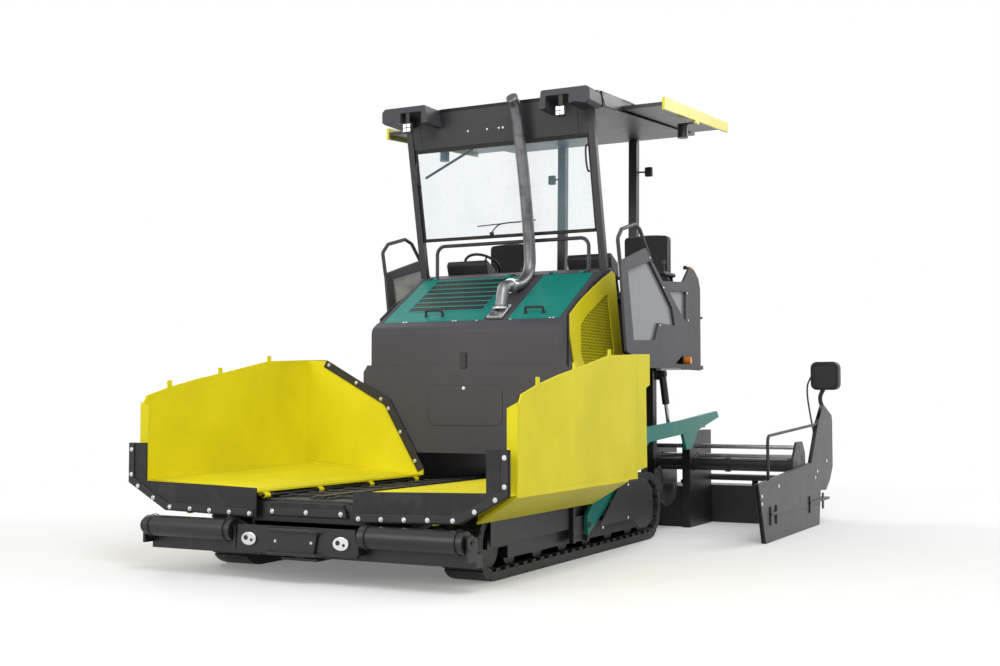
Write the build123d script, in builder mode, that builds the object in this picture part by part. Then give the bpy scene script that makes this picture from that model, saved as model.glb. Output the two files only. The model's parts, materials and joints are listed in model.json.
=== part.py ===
from build123d import *
from math import atan2, cos, degrees, hypot, radians, sin, tan
import os

# Tracked asphalt paver with its hopper open and its screed drawn out, in millimetres.
# +X is the driving direction, +Y the machine's left, +Z up; the tracks stand on Z = 0.

# Undercarriage
track_centre = 1008
shoe_width = 305
track_depth = 62
shoe_count = 54
shoe_gap = 22
grouser_depth = 16
idler_x = 2450
idler_radius = 250
sprocket_x = -560
sprocket_radius = 300
wheel_play = 0.3
beam_bottom = 130
beam_top = 395
beam_inner_y = 926
beam_outer_y = 1090
beam_wall = 40
roller_radius = 92
roller_count = 6
carrier_radius = 50
carrier_places = (400, 1500)
skirt_y = 1175
skirt_front = 2560
skirt_rear = 1240
skirt_bottom = 250
skirt_top = 480

# Chassis and conveyor tunnel
chassis_front = 3040
chassis_rear = -1120
chassis_half = 480
chassis_plate = 20
chassis_bottom = 300
hopper_sill = 560
tunnel_top = 800
hood_floor = 812
conveyor_floor = 552
conveyor_half = 372
bar_pitch = 240
bar_count = 17
hood_half = 917

# Hopper wings
wing_hinge_y = 400
wing_hinge_z = 575
wing_out = 1600
wing_plate = 12
wing_front = 2988
wing_wall_x = 838
floor_outer_z = 650
floor_inner_z = 612
keel_y = 1300
keel_z = 440
flap_x = 3096
flap_thick = 14
hinge_radius = 19
hinge_pin = 12
pin_play = 0.05
face_gap = 0.3

# Hopper cylinders
wing_foot_y = 530
wing_foot_z = 270
wing_eye_y = 1095
wing_eye_z = 565
wing_cylinder_x = 2840
wing_barrel_radius = 42
wing_rod_radius = 22
wing_barrel_length = 470
wing_eye_half = 44
wing_pin = 14

# Push beam and rollers
push_axis_x = 3168
push_axis_z = 340
push_radius = 75
push_inner_y = 535
push_outer_y = 1330
push_pivot_x = 3065
push_plate_x = 3190
push_shaft = 20
push_beam_end = 1356
push_pin = 30
push_plate_half = 490

# Hood
hood_front_x = 828
hood_fold_z = 1840
hood_sheet = 10
lid_front_x = 740
lid_front_z = 1930
lid_rear_x = -10
lid_rear_z = 2385
lid_sheet = 14
hood_rear_x = -240
hood_rear_z = 2440
strip_right_y = 150
strip_left_y = 372
lid_edge_y = 870

# Exhaust
pipe_y = 262
pipe_radius = 45

# Operator platform
deck_top = 1600
deck_sheet = 40
deck_rear = -2090
cabinet_front = -1550
platform_half = 1200
cabinet_half = platform_half - 50
shield_sheet = 24
pane_sheet = 8
rail_radius = 17

# Canopy
post_y = 920
post_side = 60
screen_foot_x = -102
screen_foot_z = 2440
screen_head_x = 138
screen_head_z = 3590
rear_post_y = 410
rear_post_foot_x = -2120
rear_post_head_x = -2170
roof_half = 1050
roof_front_x = 240
roof_rear_x = -2260
roof_front_z = 3800
roof_rear_z = 4000
visor_half = 800
extension_reach = 1450
extension_travel = 370
board_front = -245
board_rear = -2115
board_inner = 650
board_thick = 34
board_lamp_x = -1142
board_lamp_y = extension_reach - 145
board_lamp_z = 3745
screen_bottom_z = 2745

# Tow arms and screed
arm_y = 1235
arm_sheet = 30
tow_x = 1005
tow_z = 270
tow_pin = 22
tow_travel = 100
screed_half = 1130
screed_front = -1790
screed_rear = -2400
screed_top = 400
tube_fit = 0.05
tube_inner = 440
guide_tubes = {  # side: (x, z, radius) of each tube
    "left": ((-1850, 600, 47), (-2080, 600, 28), (-1960, 720, 16)),
    "right": ((-1965, 600, 47), (-2160, 600, 28), (-2060, 720, 16)),
}
end_y = 2200
end_sheet = 32
extension_front = -2430
extension_rear = -2760
extension_top = 380
extension_inner = 960
walkway_rear = -3243
walkway_z = 215

# Lift cylinders
lift_x = -880
lift_y = 1178
lift_z = 1495
lift_eye_x = -1060
lift_eye_z = 965
lift_barrel_radius = 34
lift_rod_radius = 18
lift_barrel_length = 290
lift_eye_half = 36
lift_pin = 16

# Auger
auger_x = -1330
auger_z = 430
auger_radius = 190
auger_shaft = 38
auger_case = 60
auger_outer = 1130
blade_pitch = 160

os.makedirs("parts", exist_ok=True)


def write(piece, name):
    """Label a finished piece and write it."""
    piece.label = name
    export_step(piece, f"parts/{name}.step")


def write_pair(piece, name):
    """Write a left-hand piece and its mirror image on the right."""
    write(mirror(piece, about=Plane.XZ), name + "_right")
    write(piece, name + "_left")


def both(piece):
    """A left-hand piece and its mirror image as one piece."""
    other = mirror(piece, about=Plane.XZ)
    return Compound(children=[*piece.solids(), *other.solids()])


def along_y(y):
    """A drawing plane with X forward and Z up, whose normal points to the right (-Y)."""
    return Plane(origin=(0, y, 0), x_dir=(1, 0, 0), z_dir=(0, -1, 0))


def across_x(x):
    """A drawing plane with Y to the left and Z up, whose normal points forward."""
    return Plane(origin=(x, 0, 0), x_dir=(0, 1, 0), z_dir=(1, 0, 0))


def side_plate(points, outer_y, thick):
    """A flat plate drawn in X and Z whose outer face lies at outer_y."""
    with BuildPart() as plate:
        with BuildSketch(along_y(outer_y)):
            with BuildLine():
                Polyline(*points, close=True)
            make_face()
        extrude(amount=thick)
    return plate.part


def cross_plate(points, front_x, thick):
    """A flat plate drawn in Y and Z whose front face lies at front_x."""
    with BuildPart() as plate:
        with BuildSketch(across_x(front_x)):
            with BuildLine():
                Polyline(*points, close=True)
            make_face()
        extrude(amount=-thick)
    return plate.part


def block(x0, x1, y0, y1, z0, z1):
    """A rectangular block between two corners."""
    centre = Pos((x0 + x1) / 2, (y0 + y1) / 2, (z0 + z1) / 2)
    return centre * Box(abs(x1 - x0), abs(y1 - y0), abs(z1 - z0), mode=Mode.PRIVATE)


def rod(start, end, radius):
    """A round bar from start to end."""
    axis = Vector(*end) - Vector(*start)
    return Plane(origin=start, z_dir=axis) * Cylinder(
        radius, axis.length, align=(Align.CENTER, Align.CENTER, Align.MIN), mode=Mode.PRIVATE
    )


def tube(points, radius, bends):
    """A bent round bar through a list of points."""
    with BuildPart() as bent:
        with BuildLine() as path:
            FilletPolyline(*points, radius=bends)
        with BuildSketch(Plane(origin=path.line @ 0, z_dir=path.line % 0)):
            Circle(radius)
        sweep()
    return bent.part


def cord_bends(points):
    """The largest arc at each corner that the runs beside it allow."""
    bends = []
    for before, here, after in zip(points, points[1:], points[2:]):
        run_in = Vector(*here) - Vector(*before)
        run_out = Vector(*after) - Vector(*here)
        turn = radians(run_in.get_angle(run_out))
        bends.append(0.45 * min(run_in.length, run_out.length) / tan(turn / 2))
    return bends


# Tracks: one loop of shoes round the idler and the sprocket
def track_outline(inset):
    """The loop's outline, inset from the shoes' outside."""
    with BuildSketch() as loop:
        with Locations((idler_x, idler_radius)):
            Circle(idler_radius - inset)
        with Locations((sprocket_x, sprocket_radius)):
            Circle(sprocket_radius - inset)
        make_hull()
    return loop.sketch


shoe_path = track_outline(0).face().outer_wire()
with BuildPart() as track:
    with BuildSketch(along_y(track_centre + shoe_width / 2)):
        add(track_outline(0))
        add(track_outline(track_depth), mode=Mode.SUBTRACT)
        for shoe in range(shoe_count):
            spot = (shoe + 0.5) / shoe_count
            here = shoe_path @ spot
            way = shoe_path % spot
            with Locations((here.X, here.Y)):
                Rectangle(
                    shoe_gap, 2 * grouser_depth, rotation=degrees(atan2(way.Y, way.X)), mode=Mode.SUBTRACT
                )
    extrude(amount=shoe_width)
write_pair(track.part, "track")


def track_inner_top(x):
    """Height of the underside of the loop's upper run."""
    share = (x - sprocket_x) / (idler_x - sprocket_x)
    return 2 * sprocket_radius + share * 2 * (idler_radius - sprocket_radius) - track_depth


# Track wheels: idler, sprocket, track rollers and carrier rollers between the beam's walls
wheel_width = beam_outer_y - beam_inner_y
roller_pitch = (idler_x - sprocket_x - 700) / (roller_count - 1)
with BuildPart() as wheels:
    with BuildSketch(along_y(beam_outer_y)):
        for centre_x, outer in ((idler_x, idler_radius), (sprocket_x, sprocket_radius)):
            with Locations((centre_x, outer)):
                Circle(outer - track_depth - wheel_play)
        for count in range(roller_count):
            with Locations((sprocket_x + 350 + count * roller_pitch, track_depth + wheel_play + roller_radius)):
                Circle(roller_radius)
        for centre_x in carrier_places:
            with Locations((centre_x, track_inner_top(centre_x) - carrier_radius - 2)):
                Circle(carrier_radius)
    extrude(amount=wheel_width)
write(both(wheels.part), "track_wheels")

# Track frames: a beam inside each loop, with the skirt and the tow slide's posts
slide_posts = ((1190, 1230), (915, 955))
beam_rear = sprocket_x - 60
beam_front = idler_x + 60
with BuildPart() as track_frame:
    for wall_y in (beam_outer_y, beam_inner_y - beam_wall):
        add(block(beam_rear, beam_front, wall_y, wall_y + beam_wall, beam_bottom + 90, 340))
        add(block(sprocket_x + 250, idler_x - 250, wall_y, wall_y + beam_wall, beam_bottom, beam_top))
        for centre_x in carrier_places:
            add(block(centre_x - 30, centre_x + 30, wall_y, wall_y + beam_wall, beam_top,
                      track_inner_top(centre_x) - 20))
    add(block(sprocket_x + 330, idler_x - 330, beam_inner_y, beam_outer_y, 310, 350))
    add(block(skirt_rear, skirt_front, skirt_y, skirt_y + 8, skirt_bottom, skirt_top))
    for post_rear, post_front in slide_posts:
        add(block(post_rear, post_front, skirt_y, skirt_y + 36, 140, 478))
    add(block(slide_posts[1][0], slide_posts[0][1] + 40, beam_outer_y, skirt_y, 250, 330))
    add(block(slide_posts[1][0], slide_posts[0][1], skirt_y, skirt_y + 4, 140, 478))
    add(block(idler_x - 330, idler_x - 270, beam_outer_y, skirt_y, 250, 330))
    for bracket_x in (-130, 540):
        add(block(bracket_x, bracket_x + 40, beam_outer_y, 1275, 262, 302))
write(both(track_frame.part), "track_frames")

# Main frame: chassis sides, tunnel, rear body and the forks at both ends
hinge_places = (900, 1600, 2300, 2960)
with BuildPart() as main_frame:
    for side in (-1, 1):
        add(block(820, chassis_front, side * (chassis_half - chassis_plate), side * chassis_half,
                  chassis_bottom, hopper_sill))
        add(block(chassis_rear, 820, side * (chassis_half - chassis_plate), side * chassis_half,
                  chassis_bottom, tunnel_top))
        add(block(chassis_rear, 780, side * chassis_half, side * hood_half, tunnel_top - 20, hood_floor))
        for beam_x in (1850, 120):
            add(block(beam_x, beam_x + 160, side * chassis_half, side * (beam_inner_y - beam_wall), 300, 380))
        add(block(-1180, -1080, side * 940, side * 1010, 700, deck_top - deck_sheet))
        add(block(-1140, -1120, side * (chassis_half - chassis_plate), side * 1010, 700, deck_top - deck_sheet))
        bracket_y = lift_y - lift_eye_half - face_gap
        add(block(lift_x - 60, lift_x + 60, side * 900, side * bracket_y, 1520, deck_top - deck_sheet))
        add(block(lift_x - 60, lift_x + 60, side * (bracket_y - 24), side * bracket_y, 1440, 1530))
        add(rod((lift_x, side * (bracket_y - 10), lift_z), (lift_x, side * (lift_y + lift_eye_half + 4), lift_z),
                lift_pin))
        for place in hinge_places[:3]:
            add(block(place + 66, place + 106, side * 384, side * chassis_half, conveyor_floor + face_gap,
                      wing_hinge_z))
            add(rod((place + 66, side * wing_hinge_y, wing_hinge_z),
                    (place + 106, side * wing_hinge_y, wing_hinge_z), hinge_radius))
        add(block(2915, 2955, side * 384, side * chassis_half, conveyor_floor + face_gap, wing_hinge_z))
        add(rod((2915, side * wing_hinge_y, wing_hinge_z), (2955, side * wing_hinge_y, wing_hinge_z), hinge_radius))
        add(rod((890, side * wing_hinge_y, wing_hinge_z), (3025, side * wing_hinge_y, wing_hinge_z), hinge_pin))
        lug_x = wing_cylinder_x + wing_eye_half + face_gap
        add(block(lug_x, lug_x + 20, side * chassis_half, side * (wing_foot_y + 34), 236, 340))
        add(rod((wing_cylinder_x - wing_eye_half - 6, side * wing_foot_y, wing_foot_z),
                (lug_x + 20, side * wing_foot_y, wing_foot_z), wing_pin))
    add(block(chassis_rear, chassis_front, -chassis_half, chassis_half, chassis_bottom, chassis_bottom + 12))
    add(block(chassis_rear, 780, -chassis_half, chassis_half, tunnel_top, hood_floor))
    add(block(chassis_front - 20, chassis_front, -chassis_half, chassis_half, 400, conveyor_floor - 14))
    add(block(chassis_rear, 3000, -(chassis_half - chassis_plate), -380, 520, conveyor_floor - 12))
    add(block(chassis_rear, 3000, 380, chassis_half - chassis_plate, 520, conveyor_floor - 12))
    add(block(-1120, -260, -hood_half, hood_half, hood_floor, deck_top - deck_sheet))
    add(block(-1390, -1270, -auger_case, auger_case, auger_z - 70, tunnel_top))
    add(block(-1300, -1060, -auger_case, auger_case, 640, tunnel_top))
    add(block(2940, 2980, -150, 150, 150, chassis_bottom))
    for plate_low in (150, 262):
        add(block(2940, 3140, -150, 150, plate_low, plate_low + 18))
    add(rod((push_pivot_x, 0, 150), (push_pivot_x, 0, 280), push_pin))
    add(rod((auger_x, -auger_case, auger_z), (auger_x, auger_case, auger_z), auger_shaft + pin_play),
        mode=Mode.SUBTRACT)
write(main_frame.part, "main_frame")

# Conveyor: floor plate, centre guard and slat bars on their chains
with BuildPart() as conveyor:
    add(block(chassis_rear, 3000, -(chassis_half - chassis_plate), chassis_half - chassis_plate,
              conveyor_floor - 12, conveyor_floor))
    add(block(chassis_rear, 2900, -35, 35, conveyor_floor, conveyor_floor + 28))
    for chain in (-340, -70, 70, 340):
        add(block(chassis_rear, 2900, chain - 14, chain + 14, conveyor_floor, conveyor_floor + 14))
    for count in range(bar_count):
        bar_x = -1100 + count * bar_pitch
        add(block(bar_x, bar_x + 28, -conveyor_half, conveyor_half, conveyor_floor, conveyor_floor + 20))
write(conveyor.part, "conveyor")

# Hopper wings
floor_front = flap_x - flap_thick
wing_side = (
    (wing_front, 630), (2955, 1230), (2920, 1290), (2660, 1360), (2318, 1430), (2018, 1480),
    (1428, 1590), (wing_wall_x + 6, 1616), (wing_wall_x + 6, 700),
)
with BuildPart() as wing:
    add(side_plate(wing_side, wing_out, wing_plate))
    floor_section = (
        (wing_hinge_y, floor_inner_z), (wing_out - wing_plate, floor_outer_z),
        (wing_out - wing_plate, floor_outer_z - wing_plate), (wing_hinge_y, floor_inner_z - wing_plate),
    )
    add(cross_plate(floor_section, floor_front, floor_front - wing_wall_x))
    add(cross_plate(
        ((wing_out - wing_plate, 640), (wing_out - wing_plate, 1612), (1366, 1603), (728, 1252),
         (conveyor_half, 660), (conveyor_half, floor_inner_z - 2), (wing_hinge_y, floor_inner_z - 2)),
        wing_wall_x + wing_plate, wing_plate,
    ))
    add(cross_plate(
        ((wing_out, 640), (wing_out, 622), (keel_y, keel_z), (keel_y, keel_z + 20), (wing_out - 20, 644)),
        wing_front - 6, wing_front - 6 - 1050,
    ))
    for rib_x in (wing_front - 40, 2060, 1070):
        add(cross_plate(
            ((keel_y - 10, keel_z + 40), (keel_y, keel_z + 10), (wing_out - 14, 640), (keel_y, 636)), rib_x, 12
        ))
    add(cross_plate(
        ((wing_out, 1240), (1520, 1200), (1520, 640), (wing_out, 630)), wing_front - 8, wing_plate
    ))
    for lug_x, lug_z in ((2670, 1362), (2065, 1474), (1415, 1590)):
        add(block(lug_x - 22, lug_x + 22, wing_out - wing_plate, wing_out, lug_z - 20, lug_z + 45))
    for knuckle_x in hinge_places:
        add(rod((knuckle_x, wing_hinge_y, wing_hinge_z), (knuckle_x + 60, wing_hinge_y, wing_hinge_z), hinge_radius))
        add(block(knuckle_x, knuckle_x + 60, wing_hinge_y, wing_hinge_y + 50, wing_hinge_z, floor_inner_z - 6))
    add(block(wing_cylinder_x + wing_eye_half + face_gap, wing_cylinder_x + wing_eye_half + 20,
              1060, 1140, wing_eye_z - 34, 630))
    add(rod((wing_wall_x, wing_hinge_y, wing_hinge_z), (floor_front, wing_hinge_y, wing_hinge_z),
            hinge_pin + pin_play), mode=Mode.SUBTRACT)
write_pair(wing.part, "hopper_wing")

# Rubber flaps on the wings
with BuildPart() as flap:
    add(cross_plate(
        ((410, 425), (410, 632), (1430, 655), (1430, 935), (wing_out, 935), (wing_out, 640), (1240, 445)),
        flap_x, flap_thick,
    ))
write_pair(flap.part, "wing_flap")

# Hopper cylinders
foot = Vector(wing_cylinder_x, wing_foot_y, wing_foot_z)
eye = Vector(wing_cylinder_x, wing_eye_y, wing_eye_z)
way = (eye - foot).normalized()
mouth = foot + way * wing_barrel_length
across = Vector(wing_eye_half, 0, 0)
with BuildPart() as wing_barrel:
    add(rod(tuple(foot), tuple(mouth), wing_barrel_radius))
    add(rod(tuple(foot - across), tuple(foot + across), 34))
    add(rod(tuple(foot + way * 60), tuple(mouth), wing_rod_radius + pin_play), mode=Mode.SUBTRACT)
    add(rod(tuple(foot - 2 * across), tuple(foot + 2 * across), wing_pin + pin_play), mode=Mode.SUBTRACT)
write_pair(wing_barrel.part, "wing_barrel")
with BuildPart() as wing_rod:
    add(rod(tuple(foot + way * 140), tuple(eye), wing_rod_radius))
    add(rod(tuple(eye - across), tuple(eye + across), 34))
write_pair(wing_rod.part, "wing_rod")

# Push beam: a yoke on an upright pin, with a plate in the middle and a roller on each side
with BuildPart() as push_beam:
    add(block(push_pivot_x - 60, push_pivot_x + 30, -push_beam_end, push_beam_end, 170, 260))
    add(cross_plate(
        ((-push_plate_half, 385), (push_plate_half, 385), (push_plate_half + 20, 199), (-push_plate_half - 20, 199)),
        push_plate_x, 24,
    ))
    add(block(push_pivot_x, push_plate_x - 24, -420, 420, 200, 245))
    add(rod((push_pivot_x, 0, 170), (push_pivot_x, 0, 260), 75))
    for ear_y in (-push_beam_end, -push_inner_y + 10, push_inner_y - 30, push_beam_end - 20):
        add(block(push_pivot_x + 3, push_axis_x + 30, ear_y, ear_y + 20, 215, 370))
    add(rod((push_pivot_x, 0, 170), (push_pivot_x, 0, 260), push_pin + pin_play), mode=Mode.SUBTRACT)
    add(rod((push_axis_x, -push_beam_end, push_axis_z), (push_axis_x, push_beam_end, push_axis_z),
            push_shaft + pin_play), mode=Mode.SUBTRACT)
write(push_beam.part, "push_beam")

with BuildPart() as push_roller:
    add(rod((push_axis_x, push_inner_y, push_axis_z), (push_axis_x, push_outer_y, push_axis_z), push_radius))
    add(rod((push_axis_x, push_inner_y - 26, push_axis_z), (push_axis_x, push_beam_end - 4, push_axis_z), push_shaft))
write_pair(push_roller.part, "push_roller")

# Flap between the wings
with BuildPart() as centre_flap:
    add(cross_plate(((-340, 440), (340, 440), (300, 535), (-300, 535)), chassis_front + 16, 16))
write(centre_flap.part, "centre_flap")

# Cheek panels behind the wings
cheek_side = (
    (wing_wall_x, 1616), (568, 1625), (570, 1375), (655, 1350), (640, 714), (wing_wall_x, 694),
)
with BuildPart() as cheek:
    add(side_plate(cheek_side, wing_out, wing_plate))
    add(block(780, 792, hood_half, wing_out - wing_plate, 760, 1560))
write(both(cheek.part), "side_covers")

# Guard plates over the tow arms
guard_side = (
    (411, 560), (-134, 580), (-324, 470), (-320, 215), (-174, 150), (-10, 155), (150, 245), (871, 250),
)
write(both(side_plate(guard_side, 1283, 8)), "arm_guards")


def hood_z(x):
    """Height of the hood's top behind the lids."""
    share = (lid_rear_x - x) / (lid_rear_x - hood_rear_x)
    return lid_rear_z + share * (hood_rear_z - lid_rear_z)


# Hood: front wall, bevelled nose, side walls and roof
slope = atan2(lid_rear_z - lid_front_z, lid_front_x - lid_rear_x)
slope_length = hypot(lid_rear_z - lid_front_z, lid_front_x - lid_rear_x)
lid_plane = Plane(
    origin=((lid_front_x + lid_rear_x) / 2, 0, (lid_front_z + lid_rear_z) / 2),
    x_dir=(-cos(slope), 0, sin(slope)), z_dir=(sin(slope), 0, cos(slope)),
)
hinge_lift = 10
hinge_x = lid_rear_x + hinge_lift * sin(slope)
hinge_z = lid_rear_z + hinge_lift * cos(slope)
lid_spans = {"right": (-lid_edge_y, strip_right_y), "left": (strip_left_y, lid_edge_y)}
with BuildPart() as hood:
    add(side_plate(
        ((hood_front_x, hood_floor), (hood_front_x, hood_fold_z), (lid_front_x, lid_front_z),
         (lid_rear_x, lid_rear_z), (hood_rear_x, hood_rear_z), (hood_rear_x, hood_floor)),
        hood_half, 2 * hood_half,
    ))
    add(side_plate(
        ((hood_front_x - 12, hood_floor - 1), (hood_front_x - 12, hood_fold_z - 10),
         (lid_front_x - 14, lid_front_z - 22), (lid_rear_x, lid_rear_z - 22),
         (hood_rear_x + 12, hood_rear_z - 22), (hood_rear_x + 12, hood_floor - 1)),
        hood_half - hood_sheet, 2 * (hood_half - hood_sheet),
    ), mode=Mode.SUBTRACT)
    for low_y, high_y in lid_spans.values():
        with BuildSketch(lid_plane):
            with Locations((0, -(low_y + high_y) / 2)):
                Rectangle(slope_length - 20, high_y - low_y)
        extrude(amount=60, both=True, mode=Mode.SUBTRACT)
        for knuckle_y in (low_y + 60, high_y - 100):
            add(block(hinge_x - 12, hinge_x, knuckle_y, knuckle_y + 40, lid_rear_z - 8, hinge_z))
            add(rod((hinge_x, knuckle_y, hinge_z), (hinge_x, knuckle_y + 40, hinge_z), 8))
write(hood.part, "hood_body")

with BuildPart() as front_plate:
    add(cross_plate(
        ((-960, 1560), (-1000, 1500), (-1000, 1000), (-880, 640), (-490, 640), (-490, 800),
         (490, 800), (490, 640), (880, 640), (1000, 1000), (1000, 1500), (960, 1560)),
        hood_front_x + 4, 4,
    ))
write(front_plate.part, "front_plate")

# Hood lids, hinged at their rear edge
for side, (low_y, high_y) in lid_spans.items():
    with BuildPart() as lid:
        with BuildSketch(lid_plane):
            with Locations((0, -(low_y + high_y) / 2)):
                Rectangle(slope_length - 32, high_y - low_y - 12)
        extrude(amount=-lid_sheet)
        for knuckle_y in (low_y + 60 + 40 + face_gap, high_y - 100 - 40 - face_gap):
            add(rod((hinge_x, knuckle_y, hinge_z), (hinge_x, knuckle_y + 40, hinge_z), 8))
            with BuildSketch(lid_plane):
                with Locations((slope_length / 2 - 20, -knuckle_y - 20)):
                    Rectangle(34, 40)
            extrude(amount=hinge_lift)
    write(lid.part, f"hood_lid_{side}")

# Side grilles
grille_side = ((hood_rear_x, 2420), (638, 1955), (488, 1500), (-322, 1640))
write(both(side_plate(grille_side, hood_half + 16, 16)), "side_grilles")

# Engine
write(block(-100, 640, -420, 420, hood_floor, 1650), "engine_block")


def lid_z(x):
    """Height of the hood's slope between the lids."""
    return lid_front_z + (lid_front_x - x) * (lid_rear_z - lid_front_z) / (lid_front_x - lid_rear_x)


# Exhaust pipe on its wedge-shaped flange
flange_rear, flange_front = 530, 650
flange_top = lid_z(flange_rear) + 10
exhaust_points = (
    (588, pipe_y, flange_top), (560, pipe_y, 2150), (70, pipe_y, 2450), (325, pipe_y, 3860), (430, pipe_y, 3930),
)
with BuildPart() as exhaust:
    add(side_plate(
        ((flange_rear, lid_z(flange_rear) + face_gap), (flange_front, lid_z(flange_front) + face_gap),
         (flange_front, flange_top + 8), (flange_rear, flange_top + 8)),
        pipe_y + 60, 120,
    ))
    add(tube(exhaust_points, pipe_radius, 60))
write(exhaust.part, "exhaust_pipe")

# Gas hose's route from the cabinet's top down to its coupling
hose_radius = 11
hose_y = cabinet_half - 50
hose_points = [(x, hose_y, z) for x, z in (
    (-1790, 2575), (-1900, 2592), (-2010, 2572), (-2090, 2500), (-2125, 2390), (-2132, 2270), (-2132, 2160),
)]
hose_start = Vector(*hose_points[0])
hose_way = (Vector(*hose_points[1]) - hose_start).normalized()

# Operator platform
deck_half = platform_half - shield_sheet
cabinet_side = (
    (cabinet_front, 1552), (cabinet_front, 2400), (-1750, 2560), (-1900, 2560), (-2040, 2480),
    (deck_rear, 2380), (deck_rear, 1552),
)
with BuildPart() as platform:
    add(block(deck_rear, hood_rear_x - 2, -deck_half, deck_half, deck_top - deck_sheet, deck_top))
    add(block(deck_rear, deck_rear + 20, -cabinet_half, cabinet_half, deck_top, 2380))
    for edge in (cabinet_half, -cabinet_half + 20):
        add(side_plate(cabinet_side, edge, 20))
    add(block(rear_post_foot_x - 80, deck_rear, -520, 520, deck_top, 1800))
    add(block(-300, hood_rear_x - 2, -hood_half, hood_half, deck_top, hood_rear_z))
    add(rod(tuple(hose_start - 24 * hose_way), tuple(hose_start), 20))
    add(block(-1788, -1768, hose_y - 15, cabinet_half - 10, 2555, 2575))
write(platform.part, "platform")

shield_outline = (
    (191, 2444), (-413, 2620), (-852, 2358), (-1504, 2403), (-1592, 2361), (-1548, 1750),
    (-1084, 1554), (-497, 1541), (62, 1676),
)
shield_windows = (
    ((27, 2373), (-514, 2513), (-878, 2277), (-1100, 2130), (-1180, 1961), (-739, 1961), (-631, 1800), (-107, 1778)),
    ((-1015, 2278), (-1501, 2305), (-1494, 2012)),
)
with BuildPart() as shields:
    add(side_plate(shield_outline, platform_half, shield_sheet))
    for window in shield_windows:
        add(side_plate(window, platform_half, shield_sheet), mode=Mode.SUBTRACT)
shield_pair = both(shields.part)
write(shield_pair, "side_shields")
pane_outline = ((60, 2400), (-500, 2540), (-860, 2310), (-1530, 2340), (-1520, 1940), (-1200, 1930),
                (-700, 1760), (-80, 1750))
write(both(side_plate(pane_outline, deck_half, pane_sheet)), "shield_panes")

# Seats and consoles
seat_places = (-760, 760)
with BuildPart() as seats:
    for seat_y in seat_places:
        add(block(-1560, -1080, seat_y - 240, seat_y + 240, 2200, 2310))
        add(block(-1680, -1570, seat_y - 230, seat_y + 230, 2330, 2900))
write(seats.part, "seat_cushions")
with BuildPart() as consoles:
    for seat_y in seat_places:
        add(block(-1500, -1150, seat_y - 150, seat_y + 150, deck_top, 2200))
        add(block(-1740, -1500, seat_y - 60, seat_y + 60, 2120, 2200))
        add(block(-1740, -1680, seat_y - 60, seat_y + 60, 2120, 2500))
    add(block(-560, -300, -420, 420, 2240, hood_rear_z))
write(consoles.part, "consoles")


def roof_z(x):
    """Height of the roof's underside."""
    return roof_front_z + (roof_front_x - 60 - x) / (roof_front_x - 60 - roof_rear_x) * (roof_rear_z - roof_front_z)


# Canopy posts
lean = (screen_head_x - screen_foot_x) / (screen_head_z - screen_foot_z)


def screen_x(z):
    """Place of the windscreen's plane at a height."""
    return screen_foot_x + (z - screen_foot_z) * lean


with BuildPart() as canopy:
    for side in (1, -1):
        outer = side * post_y + post_side / 2
        foot_x = screen_x(hood_z(screen_foot_x))
        head_x = screen_x(roof_front_z)
        add(side_plate(
            ((foot_x - 30, hood_z(foot_x - 30) + face_gap), (foot_x + 30, hood_z(foot_x + 30) + face_gap),
             (head_x + 25, roof_z(head_x + 25) - face_gap), (head_x - 25, roof_z(head_x - 25) - face_gap)),
            outer, post_side,
        ))
        add(side_plate(
            ((rear_post_foot_x - 30, 1800), (rear_post_foot_x + 30, 1800),
             (rear_post_head_x + 30, roof_z(rear_post_head_x + 30) - face_gap),
             (rear_post_head_x - 30, roof_z(rear_post_head_x - 30) - face_gap)),
            side * rear_post_y + 30, 60,
        ))
write(canopy.part, "canopy_posts")

# Windscreen
with BuildPart() as windscreen:
    add(side_plate(
        ((screen_x(screen_bottom_z) - 4, screen_bottom_z), (screen_x(screen_bottom_z) + 4, screen_bottom_z),
         (screen_x(screen_head_z) + 4, screen_head_z), (screen_x(screen_head_z) - 4, screen_head_z)),
        post_y - post_side / 2, 2 * post_y - post_side,
    ))
write(windscreen.part, "windscreen")

# Roof with its slots, the visor over the windscreen and the lamp pods
slot_clear = 2


def board_side(front, rear, grow):
    """Outline of a sliding roof board, or of its slot when grown."""
    return (
        (front + 3 * grow, roof_z(front) + 25 - grow / 2), (rear - 3 * grow, roof_z(rear) + 15 - grow / 2),
        (rear - 3 * grow, roof_z(rear) + 15 + board_thick + grow),
        (front + 3 * grow, roof_z(front) + 25 + board_thick + grow),
    )


roof_line = (
    (roof_front_x, roof_front_z + 130), (roof_rear_x, roof_rear_z + 80), (roof_rear_x, roof_rear_z),
    (roof_front_x - 60, roof_front_z),
)
visor_line = ((150, 3590), (roof_front_x, roof_front_z + 130), (roof_front_x - 30, roof_front_z + 100), (120, 3594))
pod_front = 487
with BuildPart() as roof:
    add(side_plate(roof_line, roof_half, 2 * roof_half))
    add(side_plate(visor_line, visor_half, 2 * visor_half))
    for side in (1, -1):
        add(block(120, pod_front, side * 590, side * 890, 3715, 3925))
        add(side_plate(board_side(board_front, board_rear, slot_clear), side * (roof_half + board_inner - 400) / 2
                       + (roof_half - board_inner + 400) / 2 + 1, roof_half - board_inner + 402),
            mode=Mode.SUBTRACT)
write(roof.part, "roof")

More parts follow.
